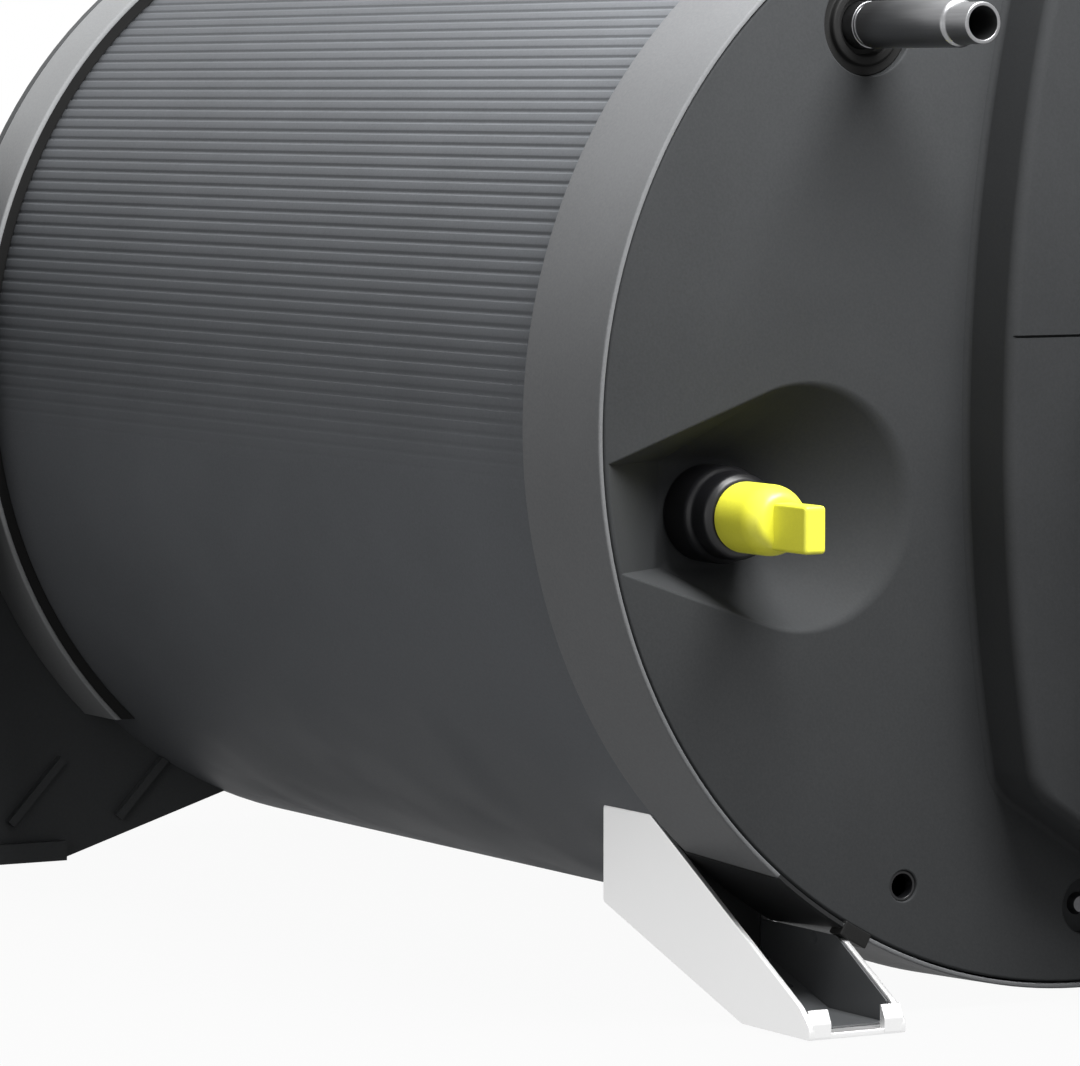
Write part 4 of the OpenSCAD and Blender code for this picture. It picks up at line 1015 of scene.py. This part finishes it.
@dataclass
class WarmAirHood:
    """Raised hood with four duct outlets."""

    base: float = EndPanel.face
    height: float = 19.0
    outer_r: float = 143.0
    bow_r: float = 500.0
    left: float = 38.5
    corner: float = 94.2
    chamfer: float = 34.0
    edge: float = 3.2
    hole_edge: float = 0.6
    plan_round: float = 7.0
    toe_round: float = 3.0
    foot: float = 1.6
    outlet_r: float = 32.7
    outlet_wall: float = 1.8
    outlet_reach: float = 35.6
    outlet_seat: float = 4.5
    outlet_lip: tuple[float, float] = (1.0, 2.0)
    outlet_bevel: float = 0.9
    columns: tuple[float, float] = (25.565, 97.565)
    row: float = 36.0
    seam_z: float = 23.0
    seam: tuple[float, float] = (0.7, 0.8)

    def build(self) -> None:
        """Build the hood and its four outlet collars."""
        spots = [(y, z) for y in self.columns for z in (-self.row, self.row)]
        shape = Shape()
        bore = self.outlet_r + self.outlet_wall + 0.1
        holes = [circle(y, z, bore, 72, hole=True) for y, z in spots]
        outline = self._outline()
        place = pose(Axis.X, self.base)
        shape.plate(outline, place, self.height, self.edge, holes, steps=5, hole_edge=self.hole_edge)
        self._foot(shape, outline)
        # The hood's darker finish is painted shade.
        hood = shape.piece("outlet_hood", HOOD_PAINTED_SHADE, stands_for=["warm_air_hood"], sharp=40)
        self._seam(hood)
        for number, (y, z) in enumerate(spots, 1):
            self._outlet(number, y, z)
        dress(STEEL, "hood_screws")

    def _outline(self) -> list[Point2]:
        """Plan of the hood: bowed left side, chamfered lower end and the outer arc.

        Returns:
            Outline, anticlockwise.
        """
        slope = math.tan(math.radians(self.chamfer))
        centre = self.bow_r - self.left
        corner_y = centre - math.sqrt(self.bow_r ** 2 - self.corner ** 2)
        apex = corner_y - self.corner / slope
        a, b, c = 1 + slope ** 2, -2 * apex * slope ** 2, (apex * slope) ** 2 - self.outer_r ** 2
        end_y = (-b + math.sqrt(b * b - 4 * a * c)) / (2 * a)
        end_a = math.degrees(math.atan2((end_y - apex) * slope, end_y))
        bow_a = math.degrees(math.asin(self.corner / self.bow_r))
        top_y = (self.outer_r ** 2 - self.bow_r ** 2 + centre ** 2) / (2 * centre)
        top_z = math.sqrt(self.outer_r ** 2 - top_y ** 2)
        rise_a = math.degrees(math.asin(top_z / self.bow_r))
        bow = arc(centre, 0, self.bow_r, 180 - rise_a, 180 + bow_a, 40)
        outer = arc(0, 0, self.outer_r, -end_a, math.degrees(math.atan2(top_z, top_y)), 84)
        points = outer + bow[1:]
        radii = [0.0] * len(points)
        radii[0] = self.toe_round
        radii[len(outer) - 1] = radii[-1] = self.plan_round
        return self._smooth_corners(points, radii)

    @staticmethod
    def _smooth_corners(points: list[Point2], radii: list[float]) -> list[Point2]:
        """Round the corners of the plan, past its short arc segments.

        Args:
            points: Outline.
            radii: Set-back at each point, 0 for a plain point.

        Returns:
            The outline with its corners rounded.
        """
        keep: list[Point2] = []
        reach: list[float] = []
        corners = [i for i, r in enumerate(radii) if r]
        for i, p in enumerate(points):
            near = [c for c in corners if c != i and math.dist(p, points[c]) < radii[c] * 1.1]
            if near:
                continue
            keep.append(p)
            reach.append(radii[i])
        return rounded_each(keep, reach, 6)

    def _foot(self, shape: Shape, outline: Sequence[Point2]) -> None:
        """Small hollow fillet between the hood and the panel.

        Args:
            shape: Shape to add to.
            outline: Plan of the hood.
        """
        rings = []
        for up, out in quarter_round(self.foot, 4):
            rings.append(shape.ring((self.base + up + 0.02, *p) for p in inset(outline, -out)))
        shape.skin(rings)

    def _seam(self, hood: bpy.types.Object) -> None:
        """Cut the moulding seam across the hood's left part.

        Args:
            hood: The hood.
        """
        width, depth = self.seam
        shape = Shape()
        y0, y1 = -self.left - 4, self.columns[0] - self.outlet_r + 2
        z0, z1 = self.seam_z - width / 2, self.seam_z + width / 2
        top = self.base + self.height
        shape.plate([(y0, z0), (y1, z0), (y1, z1), (y0, z1)], pose(Axis.X, top - depth), depth + 2, 0.0)
        cutter = add("seam_cutter", shape.data("seam_cutter"))
        cut = hood.modifiers.new("seam", "BOOLEAN")
        cut.object, cut.operation, cut.solver = cutter, "DIFFERENCE", "EXACT"
        hood.modifiers.move(len(hood.modifiers) - 1, 0)
        graph = bpy.context.evaluated_depsgraph_get()
        result = bpy.data.meshes.new_from_object(hood.evaluated_get(graph))
        hood.modifiers.remove(cut)
        hood.data = result
        bpy.data.objects.remove(cutter)

    def _outlet(self, number: int, y: float, z: float) -> None:
        """Duct collar with a lip behind the hood and a rounded mouth.

        Args:
            number: Number of the outlet.
            y: Centre.
            z: Centre.
        """
        outer, (lip, lip_len) = self.outlet_r + self.outlet_wall, self.outlet_lip
        seat, top = self.height - self.outlet_seat, self.height + self.outlet_reach
        profile = rounded_each(
            [
                (self.outlet_r, seat),
                (outer + lip, seat),
                (outer + lip, seat + lip_len),
                (outer, seat + lip_len),
                (outer, top - self.outlet_bevel),
                (outer - self.outlet_bevel, top),
                (self.outlet_r, top),
            ],
            [0.3, 0.3, 0.3, 0.1, 0.5, 0.5, 0.5],
        )
        shape = Shape()
        shape.lathe(profile, pose(Axis.X, self.base, y, z), 96)
        shape.piece(f"duct_collar_{number}", FITTING_BLACK, stands_for=[f"warm_air_outlet_{number}"])


# Water fittings


@dataclass
class WaterFittings:
    """Capped cold-water port and the bare hot-water pipe."""

    cold: Point2 = EndPanel.floor_centre
    nut_base: float = EndPanel.face - EndPanel.pocket_depth
    nut_r: float = 12.5
    nut_len: float = 18.9
    nut_waist: float = 0.55
    nut_step: float = 1.5
    pipe_r: float = 6.0
    cap_r: float = 9.0
    cap_len: float = 33.9
    cap_body: float = 19.0
    cap_shoulder: tuple[float, float] = (2.2, 4.4)
    cap_bore: float = 6.25
    cap_depth: float = 14.0
    tab: tuple[float, float] = (6.0, 12.0)
    tab_drop: float = 1.2
    hot: Point2 = EndPanel.hot_port
    hot_start: float = -47.1
    hot_end: float = 51.0
    hot_step: tuple[float, float] = (0.8, 10.0)
    hot_groove: float = 1.0
    port_r: float = EndPanel.hot_port_r
    port_back: float = EndPanel.face - EndPanel.thickness

    def build(self) -> None:
        """Build the fittings."""
        self._nut()
        self._cap()
        self._hot_pipe()
        self._grommet()
        dress(STEEL, "cold_water_pipe", bevel=0.15)

    def _nut(self) -> None:
        """Black union nut with a stepped nose."""
        bore, waist, step = self.pipe_r + 0.1, self.nut_len * self.nut_waist, self.nut_step
        profile = rounded_each(
            [
                (bore, 0.0),
                (self.nut_r, 0.0),
                (self.nut_r, waist),
                (self.nut_r - step, waist + step),
                (self.nut_r - step, self.nut_len - step),
                (self.nut_r - 2 * step, self.nut_len),
                (bore, self.nut_len),
            ],
            [0.2, 0.8, 0.9, 0.6, 0.7, 0.7, 0.3],
        )
        shape = Shape()
        shape.lathe(profile, pose(Axis.X, self.nut_base, *self.cold), 96)
        shape.piece("union_nut", FITTING_BLACK, stands_for=["cold_water_nut"])

    def _cap(self) -> None:
        """Yellow push-on cap with a flat grip tab."""
        start, (taper, shoulder) = self.nut_base + self.nut_len, self.cap_shoulder
        profile = rounded_each(
            [
                (self.cap_bore, 0.0),
                (self.cap_r, 0.0),
                (self.cap_r, self.cap_body - shoulder),
                (self.cap_r - taper, self.cap_body),
                (0.0, self.cap_body),
                (0.0, self.cap_depth),
                (self.cap_bore, self.cap_depth),
            ],
            [0.4, 0.8, 3.0, 1.6, 0.0, 0.0, 0.4],
        )
        shape = Shape()
        place = pose(Axis.X, start, *self.cold)
        shape.lathe(profile, place, 96)
        thick, tall = self.tab[0] / 2, self.tab[1] / 2
        low, high, drop = self.cap_body - 6.0, self.cap_len, self.tab_drop
        outline = rounded_each(
            [(low, -tall - drop), (high, -tall - drop), (high, tall - drop), (low, tall - drop)],
            [0.0, 1.2, 1.2, 0.0],
        )
        flat = Matrix(((0, 0, 1), (0, 1, 0), (1, 0, 0))).to_4x4()
        side = place @ flat @ Matrix.Translation((0, 0, -thick))
        shape.plate(outline, side, 2 * thick, 0.9, under=0.9)
        shape.piece("transport_cap", CAP_YELLOW, Body.WATER_CAP, ["cold_water_cap"])

    def _hot_pipe(self) -> None:
        """Grey pipe with a clip groove and a stepped end."""
        step, step_len = self.hot_step
        inner, length = self.pipe_r - 1.0 - step, self.hot_end - self.hot_start
        groove = self.hot_groove - self.hot_start
        profile = rounded_each(
            [
                (inner, 0.0),
                (self.pipe_r, 0.0),
                (self.pipe_r, groove),
                (self.pipe_r - step, groove),
                (self.pipe_r - step, groove + 2 * step),
                (self.pipe_r, groove + 2 * step),
                (self.pipe_r, length - step_len),
                (self.pipe_r - step, length - step_len + step),
                (self.pipe_r - step, length),
                (inner, length),
            ],
            [0.1, 0.3, 0.2, 0.2, 0.2, 0.2, 0.4, 0.4, 0.4, 0.2],
        )
        shape = Shape()
        shape.lathe(profile, pose(Axis.X, self.hot_start, *self.hot), 72)
        # The pipe's darker steel is painted shade.
        shape.piece("hot_pipe", PIPE_PAINTED_SHADE, stands_for=["hot_water_pipe"])

    def _grommet(self) -> None:
        """Rubber grommet in the hot port."""
        bore, rim = self.pipe_r + 0.1, self.port_r - 0.1
        profile = rounded_each(
            [
                (bore, -2.0),
                (self.port_r + 2.0, -2.0),
                (self.port_r + 2.0, 0.0),
                (rim, 0.0),
                (rim, 2.0),
                (rim - 2.4, 2.0),
                (rim - 2.9, 3.5),
                (self.pipe_r + 2.0, 3.5),
                (self.pipe_r + 1.5, 1.0),
                (bore, 1.0),
            ],
            [0.2, 0.4, 0.2, 0.2, 0.4, 0.4, 0.5, 0.5, 0.4, 0.2],
        )
        shape = Shape()
        shape.lathe(profile, pose(Axis.X, self.port_back, *self.hot), 72)
        shape.piece("port_grommet", SEAL_BLACK, stands_for=["hot_water_grommet"])


# Brackets


@dataclass
class Brackets:
    """Two channel-shaped sheet feet under the face end, with pads, linings and mats that are dark with
    painted shade.
    """

    outer_y: float = 102.6
    width: float = 28.6
    sheet: float = 1.6
    toe: float = 26.6
    heel: float = -75.2
    heel_h: float = 23.0
    heel_flat: float = 23.6
    base_back: float = 6.0
    toe_h: float = 8.0
    toe_edge: float = 3.0
    toe_bevel: float = 5.0
    floor: float = -150.5
    top: float = -101.75
    drum_r: float = Drum.radius + Drum.fit
    collar_r: float = Drum.collar_r + Drum.fit
    collar_back: float = -Drum.collar_w - 0.5
    pad_gap: float = 3.0
    lip: float = 2.4
    lip_w: float = 5.6
    shade_sheet_start: tuple[float, float] = (227.2, 229.8)
    shade_sheet_end: tuple[float, float] = (239.7, 238.95)
    shade_sheet_profile: tuple[Point2, ...] = (
        (149.56, -35.0), (148.12, -1.2), (147.5, 0.08), (146.9, 0.08),
        (146.9, 0.4), (147.9, 0.4), (148.5, -0.9), (149.95, -35.0),
    )

    def build(self) -> None:
        """Build both feet."""
        for side, name in ((-1, "front"), (1, "rear")):
            self._bracket(side, name)
            self._pad(side, name)
            self._shade_lining(side, name)
            self._painted_shade_sheet(side, name)
        dress(STEEL, "bracket_screws")

    def _web_fall(self) -> float:
        """Fall of the web for each millimetre from the heel to the base."""
        return self.heel_h / (-self.base_back - self.heel)

    def _edge_fall(self) -> float:
        """Fall of the flanges' upper edge for each millimetre towards the toe."""
        run = self.toe - self.toe_bevel - self.heel - self.heel_flat
        return (self.top - self.floor - self.toe_h) / run

    def _flange(self, inner: bool) -> list[Point2]:
        """Side outline of a flange, clear of the drum and the collar.

        Args:
            inner: True for the flange under the drum.

        Returns:
            Outline in x and z.
        """
        start = (self.heel + self.heel_flat, self.top)
        end = (self.toe - self.toe_bevel, self.floor + self.toe_h)
        head = [start, (self.heel, self.top)]
        if inner:
            y = self.outer_y - self.width
            low, high = (-math.sqrt(r * r - y * y) for r in (self.collar_r, self.drum_r))
            cross = start[0] + (self.top - low) / self._edge_fall()
            head = [(cross, low), (self.collar_back, low), (self.collar_back, high), (self.heel, high)]
        return [
            (self.heel, self.floor + self.heel_h),
            (-self.base_back, self.floor),
            (self.toe, self.floor),
            (self.toe, self.floor + self.toe_edge),
            end,
            *head,
        ]

    def _bracket(self, side: int, name: str) -> None:
        """One foot: two flanges, the web between them and the toe's returns.

        Args:
            side: -1 at the front, 1 at the rear.
            name: Name of the side.
        """
        shape = Shape()
        outer, inner = self.outer_y - self.sheet / 2, self.outer_y - self.width + self.sheet / 2
        self._sheet(shape, self._flange(False), side * outer, self.sheet)
        self._sheet(shape, self._flange(True), side * inner, self.sheet)
        top = self.floor + self.heel_h + self.sheet
        web = [
            (self.heel + 0.3, self.floor + self.heel_h + 0.1),
            (-self.base_back, self.floor + 0.02),
            (self.toe - 0.4, self.floor + 0.02),
            (self.toe - 0.4, self.floor + self.sheet),
            (-self.base_back + 0.5, self.floor + self.sheet),
            (self.heel + 0.3, top + 0.2),
        ]
        self._sheet(shape, web, side * (outer + inner) / 2, self.width - self.sheet, 0.2)
        lip_x, lip_z = self.toe - self.lip, self.floor + self.toe_h - 0.6
        lip = [
            (lip_x, self.floor + 0.5),
            (self.toe - 0.1, self.floor + 0.5),
            (self.toe - 0.1, self.floor + self.toe_edge + 1.0),
            (self.toe - self.lip + 0.6, lip_z),
            (lip_x, lip_z),
        ]
        for y in (outer - self.lip_w / 2, inner + self.lip_w / 2):
            self._sheet(shape, lip, side * y, self.lip_w, 0.12)
        shape.piece(f"foot_bracket_{name}", BRACKET_SHEET, stands_for=[f"bracket_{name}"], sharp=30)

    @staticmethod
    def _sheet(shape: Shape, outline: Sequence[Point2], y: float, thick: float, soft: float = 0.4) -> None:
        """Extrude an upright sheet with softened edges.

        Args:
            shape: Shape to add to.
            outline: Outline in x and z.
            y: Middle of the sheet.
            thick: Thickness along y.
            soft: Rounding of the edges.
        """
        place = pose(Axis.Y, 0.0, y - thick / 2, 0.0)
        shape.plate(rounded(outline, 2.5 * soft, 3), place, thick, soft, under=soft)

    def _pad(self, side: int, name: str) -> None:
        """Block of the lower shell that stands in the foot, dark with painted shade.

        Args:
            side: -1 at the front, 1 at the rear.
            name: Name of the side.
        """
        fall = self._web_fall()
        lift = self.floor + self.heel_h + self.sheet + 0.3
        x0, x1 = self.heel + self.pad_gap, self.collar_back - self.pad_gap
        outline = [
            (x0, lift - (x0 - self.heel) * fall),
            (x1, lift - (x1 - self.heel) * fall),
            (x1, self.top),
            (x0, self.top),
        ]
        mid = side * (self.outer_y - self.width / 2)
        span = self.width - 2 * self.sheet - 0.6
        shape = Shape()
        self._sheet(shape, outline, mid, span)
        # The pad's dark finish is painted shade.
        shape.piece(f"bracket_pad_{name}", PAD_PAINTED_SHADE)

    def _shade_lining(self, side: int, name: str) -> None:
        """Dark lining on the web and on the flange under the drum: painted shade inside the foot.

        Args:
            side: -1 at the front, 1 at the rear.
            name: Name of the side.
        """
        back, front = self.collar_back - self.pad_gap + 0.2, self.toe - self.toe_bevel - 1.0
        base = self.floor + self.sheet + 0.1
        rise = base - (back + self.base_back) * self._web_fall()
        inner = self.outer_y - self.width
        under = -math.sqrt(self.collar_r ** 2 - (inner + self.sheet) ** 2) - 0.2
        turn = front - (under - self.floor - self.toe_h) / self._edge_fall()
        foot = [(back, rise + 0.1), (-self.base_back, base), (front, base)]
        shape = Shape()
        flange = [*foot, (front, base + self.toe_h - self.sheet - 0.6), (turn, under), (back, under)]
        self._sheet(shape, flange, side * (inner + self.sheet + 0.35), 0.5, 0.1)
        web = [*foot, (front, base + 0.5), (-self.base_back + 0.1, base + 0.5), (back, rise + 0.6)]
        middle, span = side * (self.outer_y - self.width / 2), self.width - 2 * self.sheet - 1.6
        self._sheet(shape, web, middle, span, 0.1)
        # The lining's dark finish is painted shade.
        shape.piece(f"foot_shade_lining_{name}", LINING_PAINTED_SHADE)

    def _painted_shade_sheet(self, side: int, name: str) -> None:
        """Thin dark sheet on the collar inside the foot: painted shade.

        Args:
            side: -1 at the front, 1 at the rear.
            name: Name of the side.
        """
        shape = Shape()
        rings, count = [], 24
        for k in range(count + 1):
            points = []
            for r, x in self.shade_sheet_profile:
                t = x / self.shade_sheet_profile[0][1]
                start, end = (back * t + front * (1 - t) for back, front in (self.shade_sheet_start, self.shade_sheet_end))
                a = math.radians(start + (end - start) * k / count)
                points.append((x, -side * r * math.cos(a), r * math.sin(a)))
            rings.append(shape.ring(points))
        shape.skin(rings)
        shape.face(rings[0])
        shape.face(rings[-1])
        # The dark finish is painted shade on the collar.
        shape.piece(f"collar_painted_shade_{name}", PAD_PAINTED_SHADE)


# Carried-over pieces


class BurnerEnd:
    """Housing plate, fan cover, front box and everything inside."""

    def build(self) -> None:
        """Dress the pieces."""
        dress(HOUSING_BLACK, "burner_housing", bevel=0.0)
        dress(HOUSING_BLACK, "fan_cover", "front_box", "box_cover", bevel=0.5)
        dress(HOUSING_BLACK, "fan_wheel", "blower_wheel", bevel=0.0)
        dress(FITTING_BLACK, "fan_motor", "blower_motor", "reset_switch", "gas_solenoids")
        dress(BUTTON_RED, "reset_button")
        dress(SOCKET_IVORY, "control_sockets", "ignition_electrode", bevel=0.2)
        dress(BOARD_GREEN, "control_board")
        dress(
            STEEL, "tank_outer_wall", "tank_inner_wall", "tank_front_end", "tank_rear_end",
            "burner_tube", "exhaust_pipe", "fan_shaft", "blower_shaft", bevel=0.0,
        )
        dress(STEEL, "fan_cover_screws", "box_cover_screws", "box_screws", "socket_screws")
        dress(CAST_ALLOY, "heat_exchanger", "burner_head", "mixture_pipe", bevel=0.0)
        dress(CAST_ALLOY, "blower_housing", "gas_valve", bevel=0.0)
        dress(CAST_ALLOY, "exhaust_socket")
        dress(BRASS, "gas_nut", "gas_pipe", "gas_feed_pipe", bevel=0.15)


# Studio


def aimed(place: Vector, ahead: Vector) -> Matrix:
    """Placement of a camera or lamp that looks along a direction."""
    return Matrix.Translation(place) @ ahead.to_track_quat("-Z", "Y").to_matrix().to_4x4()


@dataclass
class PhotoCamera:
    """Camera at the photograph's place, in row millimetres."""

    place: Point3 = (1467.3, -813.2, 236.0)
    yaw: float = 60.24
    pitch: float = 4.26
    lens: float = 198.5
    sensor: float = 36.0

    def build(self) -> None:
        """Add the camera and make it the scene's."""
        data = bpy.data.cameras.new("photo_camera")
        data.lens, data.sensor_width = self.lens, self.sensor
        data.clip_start, data.clip_end = 0.05, 50.0
        camera = add("photo_camera", data)
        yaw, pitch = math.radians(self.yaw), math.radians(self.pitch)
        ahead = Vector(
            (-math.sin(yaw) * math.cos(pitch), math.cos(yaw) * math.cos(pitch), -math.sin(pitch))
        )
        camera.matrix_world = aimed(Vector(self.place) * MM, ahead)
        bpy.context.scene.camera = camera


@dataclass(frozen=True)
class Lamp:
    """A soft area light that looks at a point."""

    name: str
    place: Point3
    target: Point3
    size: tuple[float, float]
    power: float

    def build(self) -> None:
        """Add the light."""
        data = bpy.data.lights.new(self.name, "AREA")
        data.shape = "RECTANGLE"
        data.size, data.size_y = self.size
        data.energy = self.power
        place = Vector(self.place)
        add(self.name, data).matrix_world = aimed(place, Vector(self.target) - place)


@dataclass
class Studio:
    """Pale floor, white surroundings and soft lamps."""

    floor_size: float = 12.0
    floor_drop: float = 0.0004
    floor_tone: float = 0.14
    floor_glow: float = 0.95
    ambient: float = 0.56
    lamps: list[Lamp] = field(default_factory=lambda: [
        Lamp("top_light", (-0.25, 0.29, 1.63), (-0.15, 0.08, 0.15), (1.3, 1.1), 33.0),
        Lamp("front_light", (0.42, 0.03, 0.56), (0.2, 0.05, 0.2), (0.3, 0.3), 7.0),
        Lamp("side_light", (0.35, -0.8, 0.2), (-0.12, 0.0, 0.15), (0.4, 0.4), 0.6),
    ])

    def build(self) -> None:
        """Add the floor, the world and the lamps."""
        bpy.context.scene.view_settings.view_transform = "Standard"
        self._world()
        self._floor()
        for lamp in self.lamps:
            lamp.build()

    @staticmethod
    def _seen(tree: bpy.types.NodeTree) -> bpy.types.NodeSocket:
        """1 for rays that show the background, directly or by reflection.

        Args:
            tree: Node tree to add to.

        Returns:
            Output socket.
        """
        path = tree.nodes.new("ShaderNodeLightPath")
        seen = path.outputs["Is Camera Ray"]
        for ray in ("Is Glossy Ray", "Is Transmission Ray"):
            either = tree.nodes.new("ShaderNodeMath")
            either.operation = "MAXIMUM"
            tree.links.new(seen, either.inputs[0])
            tree.links.new(path.outputs[ray], either.inputs[1])
            seen = either.outputs[0]
        return seen

    @staticmethod
    def _blend(
        output: bpy.types.Node, share: bpy.types.NodeSocket, lit: bpy.types.Node, shown: bpy.types.Node
    ) -> None:
        """Send a mix of two shaders to an output.

        Args:
            output: Output node of the tree.
            share: Share of the second shader.
            lit: Shader that lights the object.
            shown: Shader that is seen.
        """
        tree = output.id_data
        mix = tree.nodes.new("ShaderNodeMixShader")
        tree.links.new(share, mix.inputs["Fac"])
        tree.links.new(lit.outputs[0], mix.inputs[1])
        tree.links.new(shown.outputs[0], mix.inputs[2])
        tree.links.new(mix.outputs[0], output.inputs["Surface"])

    def _world(self) -> None:
        """White surroundings that light the object only a little."""
        world = bpy.data.worlds.new("studio")
        world.use_nodes = True
        tree = world.node_tree
        tree.nodes.clear()
        lit, shown = (tree.nodes.new("ShaderNodeBackground") for _ in range(2))
        for node, strength in ((lit, self.ambient), (shown, 1.0)):
            node.inputs["Color"].default_value = (1.0, 1.0, 1.0, 1.0)
            node.inputs["Strength"].default_value = strength
        self._blend(tree.nodes.new("ShaderNodeOutputWorld"), self._seen(tree), lit, shown)
        bpy.context.scene.world = world

    def _floor(self) -> None:
        """Pale floor that keeps the object's shadow."""
        half = self.floor_size / 2
        data = bpy.data.meshes.new("studio_floor")
        corners = [(-half, -half, 0), (half, -half, 0), (half, half, 0), (-half, half, 0)]
        data.from_pydata(corners, [], [(0, 1, 2, 3)])
        floor = add("studio_floor", data)
        floor.location.z = -self.floor_drop
        paint = bpy.data.materials.new("floor_paint")
        paint.use_nodes = True
        tree = paint.node_tree
        tree.nodes.clear()
        matte, glow = tree.nodes.new("ShaderNodeBsdfDiffuse"), tree.nodes.new("ShaderNodeEmission")
        matte.inputs["Color"].default_value = (*[self.floor_tone] * 3, 1.0)
        glow.inputs["Strength"].default_value = 1.0
        share = tree.nodes.new("ShaderNodeMath")
        share.operation = "MULTIPLY"
        share.inputs[1].default_value = self.floor_glow
        tree.links.new(self._seen(tree), share.inputs[0])
        self._blend(tree.nodes.new("ShaderNodeOutputMaterial"), share.outputs[0], matte, glow)
        data.materials.append(paint)


def main() -> None:
    """Build the sub-assemblies in order, then the studio."""
    logging.basicConfig(level=logging.INFO, format="%(name)s: %(message)s")
    PhotoCamera().build()
    Drum().build()
    EndPanel().build()
    WarmAirHood().build()
    WaterFittings().build()
    Brackets().build()
    BurnerEnd().build()
    Studio().build()


if __name__ == "__main__":
    main()
